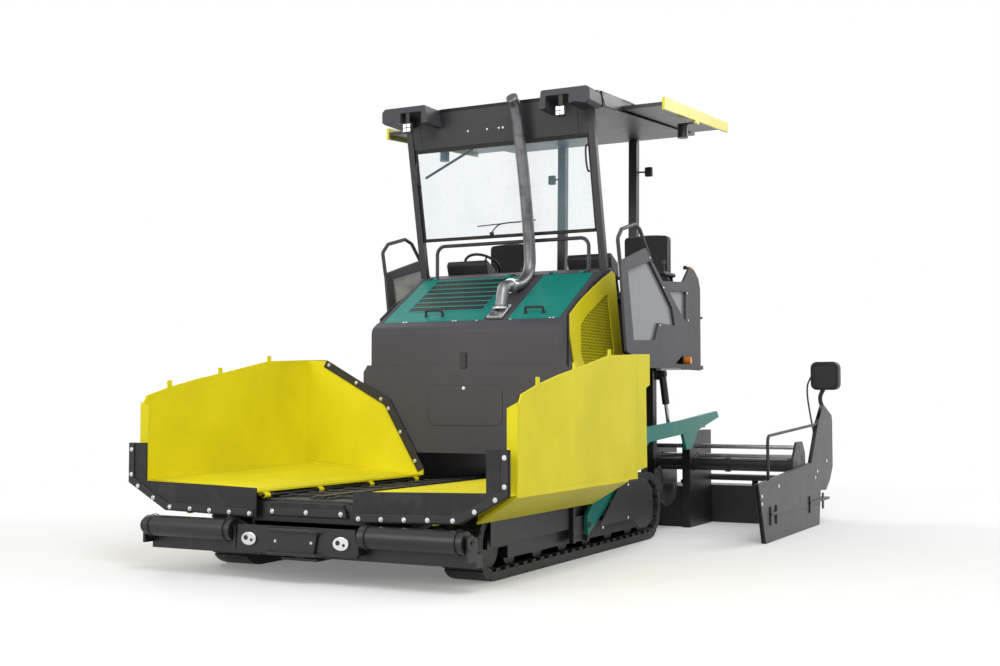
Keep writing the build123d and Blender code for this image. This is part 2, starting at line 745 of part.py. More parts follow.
# Sliding roof boards, drawn out
with BuildPart() as board:
    add(side_plate(board_side(board_front, board_rear, 0), extension_reach - 25, extension_reach - 25 - board_inner))
    add(side_plate(
        ((board_front, roof_z(board_front) - 10), (board_rear, roof_z(board_rear) - 20),
         (board_rear, roof_z(board_rear) + 75), (board_front, roof_z(board_front) + 100)),
        extension_reach, 25,
    ))
    hanger_z = roof_z(board_lamp_x) - 40
    add(block(board_lamp_x - 60, board_lamp_x + 60, extension_reach - 25, extension_reach,
              hanger_z, roof_z(board_lamp_x)))
    add(block(board_lamp_x - 30, board_lamp_x + 30, board_lamp_y - 40, extension_reach - 25, hanger_z, hanger_z + 12))
    add(rod((board_lamp_x, board_lamp_y, board_lamp_z), (board_lamp_x, board_lamp_y, hanger_z), 50))
write_pair(board.part, "roof_extension")

# Lamps
with BuildPart() as lamps:
    for side in (1, -1):
        for lamp_y in (665, 815):
            add(rod((pod_front, side * lamp_y, 3800), (pod_front + 45, side * lamp_y, 3800), 58))
        add(block(rear_post_head_x - 60, rear_post_head_x - 10, side * 520, side * 600, 3600, 3700))
        add(block(rear_post_head_x - 30, rear_post_head_x + 10, side * (rear_post_y + 30), side * 530, 3640, 3660))
write(lamps.part, "lamps")
write(both(rod((-1600, cabinet_half, 1640), (-1600, cabinet_half + 65, 1640), 34)), "beacon")

# Handrails
with BuildPart() as rails:
    rail_x = -92
    rail_foot = hood_z(rail_x) + 4.5
    add(tube(
        ((rail_x, -780, rail_foot), (rail_x, -780, 2705), (rail_x, 780, 2705), (rail_x, 780, rail_foot)),
        rail_radius, 80,
    ))
    for side in (1, -1):
        rail_y = side * (platform_half - shield_sheet / 2)
        add(tube(
            ((180, rail_y, 2430), (232, rail_y, 2638), (139, rail_y, 2727), (-170, rail_y, 2808),
             (-292, rail_y, 2779), (-590, rail_y, 2500)),
            rail_radius, 40,
        ))
    add(shield_pair, mode=Mode.SUBTRACT)
write(rails.part, "handrails")

# Gas hose and its coupling
hose_bends = cord_bends(hose_points)
print("gas hose bends", [round(bend) for bend in hose_bends])
write(tube(hose_points, hose_radius, hose_bends), "gas_hose")
with BuildPart() as coupling:
    hose_end = hose_points[-1]
    add(rod((hose_end[0], hose_y, hose_end[2] - 110), hose_end, 20))
    add(rod((hose_end[0], hose_y, hose_end[2] - 70), (hose_end[0], hose_y + 60, hose_end[2] - 70), 14))
    add(block(hose_end[0], deck_rear, hose_y - 12, hose_y + 12, hose_end[2] - 60, hose_end[2] - 30))
write(coupling.part, "hose_coupling")

# Tow points: a block between the slide's posts on each side, with its pin
with BuildPart() as tow_point:
    add(block(slide_posts[1][1] + 0.1, slide_posts[0][0] - 0.1, skirt_y + 4 + 0.1, skirt_y + 34, 200, 340))
    add(rod((tow_x, skirt_y + 34, tow_z), (tow_x, arm_y + arm_sheet / 2 + 8, tow_z), tow_pin))
write(both(tow_point.part), "tow_points")

# Tow arms
arm_line = (
    (1048, 345), (846, 500), (-250, 1010), (-400, 1020), (-1200, 1060), (-2300, 1140), (-2360, 1080),
    (-1700, 960), (-1500, 780), (-1350, 780), (-1250, 930), (-345, 880), (940, 235), (1040, 190),
)
with BuildPart() as arm:
    add(side_plate(arm_line, arm_y + arm_sheet / 2, arm_sheet))
    add(rod((tow_x, arm_y - arm_sheet, tow_z), (tow_x, arm_y + arm_sheet, tow_z), tow_pin + pin_play),
        mode=Mode.SUBTRACT)
write(both(arm.part), "tow_arms")

# Screed
with BuildPart() as screed:
    add(block(screed_rear, screed_front, -screed_half, screed_half, 0, screed_top))
    for side in (-1, 1):
        add(block(screed_rear, screed_front + 60, side * (screed_half - 60), side * (screed_half + 20), 0, 950))
        add(block(-2000, -1900, side * (screed_half - 60), side * (arm_y - arm_sheet / 2), 980, 1040))
        add(block(-2000, -1900, side * (screed_half - 60), side * (screed_half + 20), 940, 1040))
        add(block(screed_rear, screed_front + 60, side * 700, side * 780, screed_top, 780))
    for side, way in (("left", 1), ("right", -1)):
        for tube_x, tube_z, radius in guide_tubes[side]:
            add(rod((tube_x, way * 300, tube_z), (tube_x, way * 1500, tube_z), radius + tube_fit), mode=Mode.SUBTRACT)
write(screed.part, "screed_body")
with BuildPart() as walkway:
    add(block(-3200, -2790, -930, 930, 250, 275))
    for arm_side in (-920, -40, 840):
        add(block(-2810, -2790, arm_side, arm_side + 80, 250, 430))
        add(block(-2810, screed_rear, arm_side, arm_side + 80, 400, 430))
        add(block(screed_rear, screed_rear + 60, arm_side, arm_side + 80, screed_top, 430))
write(walkway.part, "screed_walkway")

# Screed extensions with their end frames and guide tubes
end_side = (
    (-676, 0), (-500, 530), (-2400, 640), (-2494, 853), (-2675, 1061), (walkway_rear, 1045),
    (walkway_rear, 700), (-3125, 415), (-2724, 390), (-2614, 0),
)
rail_line = ((-815, end_y - 16, 548), (-815, end_y - 16, 934), (-2628, end_y - 16, 1009))
with BuildPart() as extension:
    add(block(extension_rear, extension_front, extension_inner, end_y - end_sheet, 0, extension_top))
    add(side_plate(end_side, end_y, end_sheet))
    add(block(walkway_rear, extension_rear, extension_inner + 40, end_y - end_sheet, walkway_z, walkway_z + 25))
write_pair(extension.part, "screed_extension")
cable_radius = 9
cable_points = [
    (-3080, 2022, 1482), (-3079, 1994, 1440), (-3076, 1984, 1360), (-3070, 1992, 1260), (-3064, 2010, 1150),
    (-3058, 2030, 1040), (-3053, 2050, 940), (-3050, 2062, 840),
]
cable_start = Vector(*cable_points[0])
cable_end = Vector(*cable_points[-1])
cable_out = (Vector(*cable_points[1]) - cable_start).normalized()
cable_in = (cable_end - Vector(*cable_points[-2])).normalized()
with BuildPart() as end_console:
    add(tube(rail_line, 14, 80))
    add(side_plate(((-2900, 1030), (-3020, 1030), (-3120, 1420), (-3040, 1420)), end_y - 10, 12))
    add(block(-3140, -3020, 2034, 2326, 1358, 1653))
    add(rod(tuple(cable_start - 40 * cable_out), tuple(cable_start), 14))
    add(rod(tuple(cable_end), tuple(cable_end + 30 * cable_in), 16))
    add(block(-3070, -3030, 2050, end_y - end_sheet, 790, 820))
    add(side_plate(end_side, end_y, end_sheet), mode=Mode.SUBTRACT)
write_pair(end_console.part, "end_console")
for side, way in (("left", 1), ("right", -1)):
    with BuildPart() as tubes:
        for tube_x, tube_z, radius in guide_tubes[side]:
            add(rod((tube_x, way * tube_inner, tube_z), (tube_x, way * (end_y - end_sheet), tube_z), radius))
    write(tubes.part, f"guide_tubes_{side}")

# Cable from the left end console down to its socket
cable_bends = cord_bends(cable_points)
print("console cable bends", [round(bend) for bend in cable_bends])
write(tube(cable_points, cable_radius, cable_bends), "console_cable")

# Lift cylinders between the rear columns and the tow arms
for side, way in (("left", 1), ("right", -1)):
    top = Vector(lift_x, way * lift_y, lift_z)
    bottom = Vector(lift_eye_x, way * lift_y, lift_eye_z)
    down = (bottom - top).normalized()
    half = Vector(0, lift_eye_half, 0)
    mouth = top + down * lift_barrel_length
    with BuildPart() as lift_barrel:
        add(rod(tuple(top), tuple(mouth), lift_barrel_radius))
        add(rod(tuple(top + down * 30), tuple(mouth), lift_rod_radius + pin_play), mode=Mode.SUBTRACT)
        add(rod(tuple(top - half), tuple(top + half), 34))
        add(rod(tuple(top - 3 * half), tuple(top + 3 * half), lift_pin + pin_play), mode=Mode.SUBTRACT)
    write(lift_barrel.part, f"lift_barrel_{side}")
    face = Vector(0, way * (arm_y - arm_sheet / 2 - face_gap - lift_y), 0)
    with BuildPart() as lift_rod:
        add(rod(tuple(bottom - down * 290), tuple(bottom), lift_rod_radius))
        add(rod(tuple(bottom - 0.6 * way * half), tuple(bottom + face), 30))
    write(lift_rod.part, f"lift_rod_{side}")

# Augers on the chain case in the middle
with BuildPart() as auger:
    add(rod((auger_x, 10, auger_z), (auger_x, auger_outer, auger_z), auger_shaft))
    for blade in range(6):
        blade_y = 150 + blade * blade_pitch
        add(rod((auger_x, blade_y, auger_z), (auger_x, blade_y + 14, auger_z), auger_radius))
write_pair(auger.part, "auger")
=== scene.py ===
import json
from math import atan2, cos, pi, radians, sin, tan, tau

import bmesh
import bpy
from mathutils import Matrix, Vector


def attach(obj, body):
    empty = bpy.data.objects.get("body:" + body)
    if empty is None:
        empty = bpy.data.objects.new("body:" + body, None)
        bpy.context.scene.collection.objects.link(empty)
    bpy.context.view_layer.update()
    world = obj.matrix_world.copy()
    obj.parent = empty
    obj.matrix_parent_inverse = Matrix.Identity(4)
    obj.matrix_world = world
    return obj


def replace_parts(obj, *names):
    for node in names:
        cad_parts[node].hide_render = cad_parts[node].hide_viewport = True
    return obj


# Tracked asphalt paver: finishes, fittings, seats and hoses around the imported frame, in metres.
# +X is the driving direction, +Y the machine's left, +Z up; the tracks stand on Z = 0.
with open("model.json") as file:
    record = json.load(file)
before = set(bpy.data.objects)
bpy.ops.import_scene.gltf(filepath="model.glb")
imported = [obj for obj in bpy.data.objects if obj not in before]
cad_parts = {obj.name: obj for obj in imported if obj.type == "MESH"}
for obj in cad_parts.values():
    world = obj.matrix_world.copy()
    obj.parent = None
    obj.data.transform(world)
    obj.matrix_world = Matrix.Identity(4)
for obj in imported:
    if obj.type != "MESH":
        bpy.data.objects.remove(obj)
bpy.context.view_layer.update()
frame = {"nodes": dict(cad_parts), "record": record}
nodes = frame["nodes"]
scene = bpy.context.scene


# Camera, at the photograph's viewing angle
camera_place = Vector((10.3825, 5.285, 1.253))
camera_yaw = radians(207.26)
camera_pitch = radians(3.0)
camera_lens = 46.06


def place_camera():
    level = cos(camera_pitch)
    forward = Vector((cos(camera_yaw) * level, sin(camera_yaw) * level, sin(camera_pitch)))
    right = Vector((sin(camera_yaw), -cos(camera_yaw), 0))
    up = right.cross(forward)
    data = bpy.data.cameras.new("camera")
    data.sensor_width = 36
    data.sensor_fit = "HORIZONTAL"
    data.lens = camera_lens
    data.clip_end = 200
    camera = bpy.data.objects.new("camera", data)
    scene.collection.objects.link(camera)
    turn = Matrix((right, up, -forward)).transposed()
    camera.matrix_world = Matrix.Translation(camera_place) @ turn.to_4x4()
    scene.camera = camera


place_camera()


# Shader maths: a wrapped socket adds its Math nodes when it is calculated with
class Level:
    def __init__(self, finish, socket):
        self.finish = finish
        self.socket = socket

    def math(self, operation, *values):
        return self.finish.node("ShaderNodeMath", {"operation": operation}, dict(enumerate(values)))

    def __add__(self, other):
        return self.math("ADD", self, other)

    __radd__ = __add__

    def __sub__(self, other):
        return self.math("SUBTRACT", self, other)

    def __rsub__(self, other):
        return self.math("SUBTRACT", other, self)

    def __mul__(self, other):
        return self.math("MULTIPLY", self, other)

    __rmul__ = __mul__

    def low(self, other):
        return self.math("MINIMUM", self, other)

    def size(self):
        return self.math("ABSOLUTE", self)

    def wave(self):
        return self.math("SINE", self)

    def rise(self, start, end):
        """0 below start, 1 above end, and smooth between them."""
        sockets = {"Value": self, "From Min": start, "From Max": end}
        return self.finish.node("ShaderNodeMapRange", {"interpolation_type": "SMOOTHSTEP"}, sockets)


class Finish:
    """A material that is being made, with its principled shader."""

    def __init__(self, name):
        self.material = bpy.data.materials.new(name)
        self.material.use_nodes = True
        self.tree = self.material.node_tree
        self.tree.nodes.clear()
        self.out = self.tree.nodes.new("ShaderNodeOutputMaterial")
        self.shader = self.tree.nodes.new("ShaderNodeBsdfPrincipled")
        self.tree.links.new(self.shader.outputs[0], self.out.inputs["Surface"])
        self.place = self.node("ShaderNodeTexCoord", {}, {}, "Object")

    def put(self, socket, value):
        if isinstance(value, Level):
            self.tree.links.new(value.socket, socket)
        elif isinstance(value, (tuple, list)) and len(value) == 3 and len(socket.default_value) == 4:
            socket.default_value = (*value, 1)
        else:
            socket.default_value = value

    def node(self, kind, settings, sockets, output=0):
        made = self.tree.nodes.new(kind)
        for name, value in settings.items():
            setattr(made, name, value)
        for name, value in sockets.items():
            self.put(made.inputs[name], value)
        return Level(self, made.outputs[output])

    def axes(self):
        parts = self.node("ShaderNodeSeparateXYZ", {}, {0: self.place})
        return parts, Level(self, parts.socket.node.outputs[1]), Level(self, parts.socket.node.outputs[2])

    def stretched(self, x, y, z):
        return self.node("ShaderNodeVectorMath", {"operation": "MULTIPLY"}, {0: self.place, 1: (x, y, z)})

    def noise(self, scale, detail=3, rough=0.55, place=None):
        sockets = {"Vector": place or self.place, "Scale": scale, "Detail": detail, "Roughness": rough}
        return self.node("ShaderNodeTexNoise", {}, sockets)

    def mix(self, share, first, second):
        made = self.tree.nodes.new("ShaderNodeMix")
        made.data_type = "RGBA"
        self.put(made.inputs[0], share)
        self.put(made.inputs[6], first)
        self.put(made.inputs[7], second)
        return Level(self, made.outputs[2])

    def bump(self, height, depth, strength=1.0, normal=None):
        sockets = {"Height": height, "Distance": depth, "Strength": strength}
        if normal is not None:
            sockets["Normal"] = normal
        return self.node("ShaderNodeBump", {}, sockets)

    def round_edges(self, radius):
        return self.node("ShaderNodeBevel", {"samples": 4}, {"Radius": radius})

    def edge_wear(self, radius):
        """1 on edges that a soft corner of this radius would round."""
        bent = self.round_edges(radius)
        flat = self.node("ShaderNodeNewGeometry", {}, {}, "Normal")
        match = self.node("ShaderNodeVectorMath", {"operation": "DOT_PRODUCT"}, {0: bent, 1: flat}, "Value")
        return (1 - match).rise(0.02, 0.25)

    def use(self, **values):
        for name, value in values.items():
            self.put(self.shader.inputs[name.replace("_", " ").title()], value)
        return self.material


# Finishes
def shade(colour, factor):
    return tuple(min(1, part * factor) for part in colour)


def paint(name, colour, rough, dust=0.12):
    """Sprayed steel: soft corners, orange peel, a little dust and worn edges."""
    peel, corner, wear = 0.0004, 0.004, (0.30, 0.30, 0.29)
    finish = Finish(name)
    cloud = finish.noise(1.6, 4)
    speck = finish.noise(38, 2)
    low = 1 - finish.axes()[2].rise(0.2, 1.6)
    dusty = (cloud.rise(0.45, 0.75) * 0.6 + low * 0.5) * speck.rise(0.35, 0.8) * dust
    tone = finish.mix(cloud.rise(0.3, 0.7), shade(colour, 0.93), shade(colour, 1.05))
    tone = finish.mix(dusty, tone, (0.36, 0.34, 0.30))
    scuffs = finish.noise(90, 3).rise(0.56, 0.7) * finish.edge_wear(corner * 0.8) * 0.55
    tone = finish.mix(scuffs, tone, wear)
    gloss = rough + (finish.noise(7, 4) - 0.5) * 0.12 + dusty * 0.6
    normal = finish.bump(finish.noise(420, 2), peel, 0.35, finish.round_edges(corner))
    return finish.use(base_color=tone, roughness=gloss, normal=normal)


def cast_steel(name, colour, bright):
    """Track shoes and rollers: dark, with rubbed bright edges and dry earth in the hollows."""
    finish = Finish(name)
    worn = finish.edge_wear(0.006) * finish.noise(55, 3).rise(0.35, 0.6)
    dirt = finish.noise(14, 5).rise(0.5, 0.72)
    tone = finish.mix(dirt * 0.5, colour, (0.10, 0.085, 0.07))
    tone = finish.mix(worn, tone, bright)
    normal = finish.bump(finish.noise(160, 4), 0.0012, 0.5, finish.round_edges(0.004))
    return finish.use(base_color=tone, roughness=0.52 + dirt * 0.3 - worn * 0.18, metallic=worn * 0.8,
                      normal=normal)


def ground_steel(name, colour, rough, streak=(1, 26, 1)):
    """Turned or ground metal with fine lines round it."""
    finish = Finish(name)
    lines = finish.noise(60, 3, 0.6, finish.stretched(*streak))
    smudge = finish.noise(5, 4)
    tone = finish.mix(smudge.rise(0.4, 0.75), colour, shade(colour, 0.72))
    normal = finish.bump(lines, 0.0003, 0.4, finish.round_edges(0.002))
    return finish.use(base_color=tone, metallic=1.0,
                      roughness=rough + lines * 0.16 + smudge.rise(0.5, 0.8) * 0.12, normal=normal)


def exhaust_steel(name):
    """Dark rolled pipe, lighter and blotched near its foot."""
    finish = Finish(name)
    stain = finish.noise(9, 5)
    heat = (1 - finish.axes()[2].rise(2.1, 2.75)) * stain.rise(0.3, 0.7)
    tone = finish.mix(stain.rise(0.35, 0.75), (0.20, 0.20, 0.21), (0.10, 0.10, 0.11))
    tone = finish.mix(heat * 0.5, tone, (0.42, 0.42, 0.42))
    lines = finish.noise(40, 4, 0.6, finish.stretched(1, 1, 7))
    return finish.use(base_color=tone, metallic=0.9, roughness=0.27 + lines * 0.22 + stain * 0.1,
                      normal=finish.bump(lines, 0.0006, 0.4))


def rubber(name, colour):
    finish = Finish(name)
    cloud = finish.noise(6, 5)
    tone = finish.mix(cloud.rise(0.45, 0.8) * 0.5, colour, (0.075, 0.073, 0.070))
    normal = finish.bump(finish.noise(260, 3), 0.0007, 0.4, finish.round_edges(0.003))
    return finish.use(base_color=tone, roughness=0.58 + cloud * 0.25, normal=normal)


def moulded_plastic(name, colour):
    finish = Finish(name)
    grain = finish.node("ShaderNodeTexVoronoi", {}, {"Vector": finish.place, "Scale": 380.0})
    cloud = finish.noise(4, 3)
    tone = finish.mix(cloud.rise(0.4, 0.7), shade(colour, 0.88), shade(colour, 1.12))
    normal = finish.bump(grain, 0.0004, 0.5, finish.round_edges(0.005))
    return finish.use(base_color=tone, roughness=0.5 + (cloud - 0.5) * 0.16, normal=normal)


def clear_glass(name, colour, alpha, rough):
    finish = Finish(name)
    smear = finish.noise(2.2, 4)
    film = finish.noise(18, 5).rise(0.5, 0.8) * 0.05
    return finish.use(base_color=finish.mix(smear, colour, shade(colour, 0.94)), roughness=rough + film,
                      alpha=alpha + smear.rise(0.4, 0.8) * 0.05 + film)


def seat_fabric(name, colour):
    """Woven seat cover with a fine twill."""
    finish = Finish(name)
    x, y, z = finish.axes()
    thread = 1450
    twill = ((x + z) * thread).wave() * ((y + z) * thread).wave()
    fuzz = finish.noise(300, 3)
    cloud = finish.noise(7, 4)
    tone = finish.mix((twill * 0.5 + 0.5) * 0.7, shade(colour, 0.7), shade(colour, 1.6))
    tone = finish.mix(cloud.rise(0.5, 0.8) * 0.3, tone, shade(colour, 2.4))
    normal = finish.bump(twill * 0.6 + fuzz * 0.4, 0.0006, 0.6)
    finish.shader.inputs["Sheen Weight"].default_value = 0.25
    return finish.use(base_color=tone, roughness=0.78 + fuzz * 0.15, normal=normal)


def hose_rubber(name, colour, rings):
    finish = Finish(name)
    axes = finish.axes()
    bands = ((axes[0] + axes[2]) * rings).wave()
    cloud = finish.noise(20, 4)
    tone = finish.mix(cloud.rise(0.4, 0.75), colour, shade(colour, 0.75))
    return finish.use(base_color=tone, roughness=0.42 + cloud * 0.2, normal=finish.bump(bands, 0.0004, 0.3))


def amber_lens(name, colour):
    finish = Finish(name)
    ribs = (finish.axes()[2] * 900).wave()
    return finish.use(base_color=finish.mix(ribs * 0.5 + 0.5, shade(colour, 0.8), colour),
                      roughness=0.16 + ribs * 0.04, normal=finish.bump(ribs, 0.0006, 0.5))


yellow = (0.82, 0.725, 0.016)
teal = (0.01, 0.22, 0.18)
dark_grey = (0.066, 0.063, 0.076)
charcoal = (0.030, 0.030, 0.033)
near_black = (0.009, 0.009, 0.010)
finishes = {
    "paint_yellow": paint("yellow_paint", yellow, 0.38, dust=0.04),
    "paint_teal": paint("teal_paint", teal, 0.32),
    "paint_dark": paint("grey_paint", dark_grey, 0.42, dust=0.03),
    "paint_black": paint("black_paint", near_black, 0.40, dust=0.02),
    "track_steel": cast_steel("shoe_steel", (0.012, 0.012, 0.012), (0.22, 0.21, 0.20)),
    "bare_steel": ground_steel("ground_steel", (0.55, 0.55, 0.56), 0.20),
    "rubber": rubber("black_rubber", (0.010, 0.010, 0.010)),
    "screen_glass": clear_glass("screen_glass", (0.48, 0.72, 0.84), 0.09, 0.03),
    # The panes' light grey, nearly opaque colour is a painted reflection of the white surroundings.
    "smoke_panes": clear_glass("smoked_pane_painted_reflection", (0.36, 0.37, 0.38), 0.82, 0.12),
    "seat_cloth": seat_fabric("seat_cover", (0.02, 0.02, 0.021)),
    "console_plastic": moulded_plastic("black_plastic", (0.020, 0.020, 0.021)),
    "hose_orange": hose_rubber("orange_hose", (0.85, 0.22, 0.03), 500),
    "cable_black": hose_rubber("black_cable", (0.015, 0.015, 0.015), 400),
    "silver": ground_steel("bright_metal", (0.75, 0.75, 0.76), 0.18, (4, 4, 4)),
    "beacon_orange": amber_lens("amber_lens", (0.90, 0.25, 0.02)),
}
shines = {"paint_yellow": 0.15, "paint_teal": 0.25, "paint_dark": 0.25, "screen_glass": 0.12}
for slot, shine in shines.items():
    finishes[slot].node_tree.nodes["Principled BSDF"].inputs["Specular IOR Level"].default_value = shine
exhaust_finish = exhaust_steel("exhaust_steel")


def edged_board(name):
    """The sliding roof boards: dark, with a yellow outer edge."""
    finish = Finish(name)
    edge = finish.axes()[1].size().rise(1.424, 1.426)
    cloud = finish.noise(2.0, 4)
    dark = finish.mix(cloud.rise(0.3, 0.7), shade(charcoal, 0.9), shade(charcoal, 1.1))
    light = finish.mix(cloud.rise(0.3, 0.7), shade(yellow, 0.94), yellow)
    normal = finish.bump(finish.noise(420, 2), 0.0003, 0.3, finish.round_edges(0.003))
    return finish.use(base_color=finish.mix(edge, dark, light), roughness=0.38 + (cloud - 0.5) * 0.1,
                      normal=normal)


charcoal_finish = paint("charcoal_paint", charcoal, 0.40, dust=0.03)
board_finish = edged_board("board_paint")
node_finishes = {
    "canopy_posts": charcoal_finish,
    "arm_guards": charcoal_finish,
    "track_frames": finishes["paint_black"],
    "screed_body": finishes["paint_black"],
    "screed_walkway": finishes["paint_black"],
    "screed_extension_left": charcoal_finish,
    "screed_extension_right": charcoal_finish,
    "roof_extension_left": board_finish,
    "roof_extension_right": board_finish,
    "front_plate": finishes["paint_dark"],
    "conveyor": finishes["track_steel"],
    "push_roller_left": finishes["paint_black"],
    "push_roller_right": finishes["paint_black"],
}


def dress_nodes():
    """Give every node of the frame the finish of its slot, or its own."""
    for part in frame["record"]["subparts"]:
        finish = node_finishes.get(part["node"], finishes[part["material_slot"]])
        mesh = nodes[part["node"]].data
        if not mesh.materials:
            mesh.materials.append(finish)
        for index in range(len(mesh.materials)):
            mesh.materials[index] = finish


dress_nodes()


# Making pieces
def keep(name, mesh, body):
    """Link a finished mesh as a piece that rides on a body."""
    piece = bpy.data.objects.new(name, mesh)
    scene.collection.objects.link(piece)
    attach(piece, body)
    return piece


def mesh_of(name, bm, material):
    """Close a bmesh into a mesh whose faces point outwards."""
    bmesh.ops.recalc_face_normals(bm, faces=bm.faces)
    mesh = bpy.data.meshes.new(name)
    bm.to_mesh(mesh)
    bm.free()
    mesh.materials.append(material)
    return mesh


# Hoses and cables
def curve_of(name, points, radius, roundness, smoothness):
    """A round curve that follows its points smoothly."""
    data = bpy.data.curves.new(name, "CURVE")
    data.dimensions = "3D"
    data.bevel_depth = radius
    data.bevel_resolution = roundness
    data.resolution_u = smoothness
    data.use_fill_caps = True
    spline = data.splines.new("NURBS")
    spline.points.add(len(points) - 1)
    for point, spot in zip(spline.points, points):
        point.co = (*spot, 1)
    spline.order_u = 3
    spline.use_endpoint_u = True
    return data


def cord_curve(name, points, radius, material):
    data = curve_of(name, points, radius, 4, 16)
    data.materials.append(material)
    piece = bpy.data.objects.new(name, data)
    scene.collection.objects.link(piece)
    return piece


hose_y = 1.100
hose_route = [(x, hose_y, z) for x, z in (
    (-1.790, 2.575), (-1.900, 2.592), (-2.010, 2.572), (-2.090, 2.500), (-2.125, 2.390), (-2.132, 2.270),
    (-2.132, 2.160),
)]
hose_radius = 0.011
cable_route = [
    (-3.080, 2.022, 1.482), (-3.079, 1.994, 1.440), (-3.076, 1.984, 1.360), (-3.070, 1.992, 1.260),
    (-3.064, 2.010, 1.150), (-3.058, 2.030, 1.040), (-3.053, 2.050, 0.940), (-3.050, 2.062, 0.840),
]
cable_radius = 0.009


def lay_cords():
    hose = cord_curve("gas_hose_line", hose_route, hose_radius, finishes["hose_orange"])
    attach(hose, "chassis")
    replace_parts(hose, "gas_hose")
    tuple(hose_route[0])
    cable = cord_curve("console_cable_line", cable_route, cable_radius, finishes["cable_black"])
    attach(cable, "extension_left")
    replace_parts(cable, "console_cable")
    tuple(cable_route[0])


lay_cords()


# Seats
seat_y = 0.76
cushion_parts = (  # name, rear, front, half width, bottom, top, crown
    ("seat_pad", -1.56, -1.08, 0.24, 2.200, 2.315, 0.022),
    ("seat_back", -1.68, -1.57, 0.23, 2.33, 2.90, 0.02),
)


def cushion(name, low, high, crown, waist=0.012):
    """A crowned cushion between two corners: its top swells, its sides pull in between the corners."""
    bm = bmesh.new()
    bmesh.ops.create_cube(bm, size=1)
    size = Vector(high) - Vector(low)
    centre = (Vector(high) + Vector(low)) / 2
    bmesh.ops.subdivide_edges(bm, edges=bm.edges, cuts=7, use_grid_fill=True)
    for vert in bm.verts:
        x, y, z = (2 * part for part in vert.co)
        dome = max(0, 1 - x * x) * max(0, 1 - y * y)
        pull = max(0, 1 - z * z) * waist
        vert.co = Vector((
            x * (0.5 * size.x - pull * max(0, 1 - y * y)),
            y * (0.5 * size.y - pull * max(0, 1 - x * x)),
            z * (0.5 * size.z - crown * (1 - dome)),
        ))
    bmesh.ops.translate(bm, verts=bm.verts, vec=centre)
    return mesh_of(name, bm, finishes["seat_cloth"])


def make_seats():
    for index, way in enumerate((-1, 1)):
        middle = way * seat_y
        pieces = []
        for part, rear, front, half, bottom, top, crown in cushion_parts:
            name = f"{part}_{index}"
            mesh = cushion(name, (rear, middle - half, bottom), (front, middle + half, top), crown)
            pieces.append(keep(name, mesh, "chassis"))
        for piece in pieces:
            smooth = piece.modifiers.new("smooth", "SUBSURF")
            smooth.levels = 2
            smooth.render_levels = 2
            for face in piece.data.polygons:
                face.use_smooth = True
        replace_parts(pieces[0], "seat_cushions")


make_seats()


# Modelling: each piece grows in one bmesh from rods, boxes, plates and turned shapes
sharp_angle = 0.6
axis_order = {"x": (2, 0, 1), "y": (0, 2, 1), "z": (0, 1, 2)}  # which of outline and level goes to X, Y, Z
halves = (("left", 1), ("right", -1))


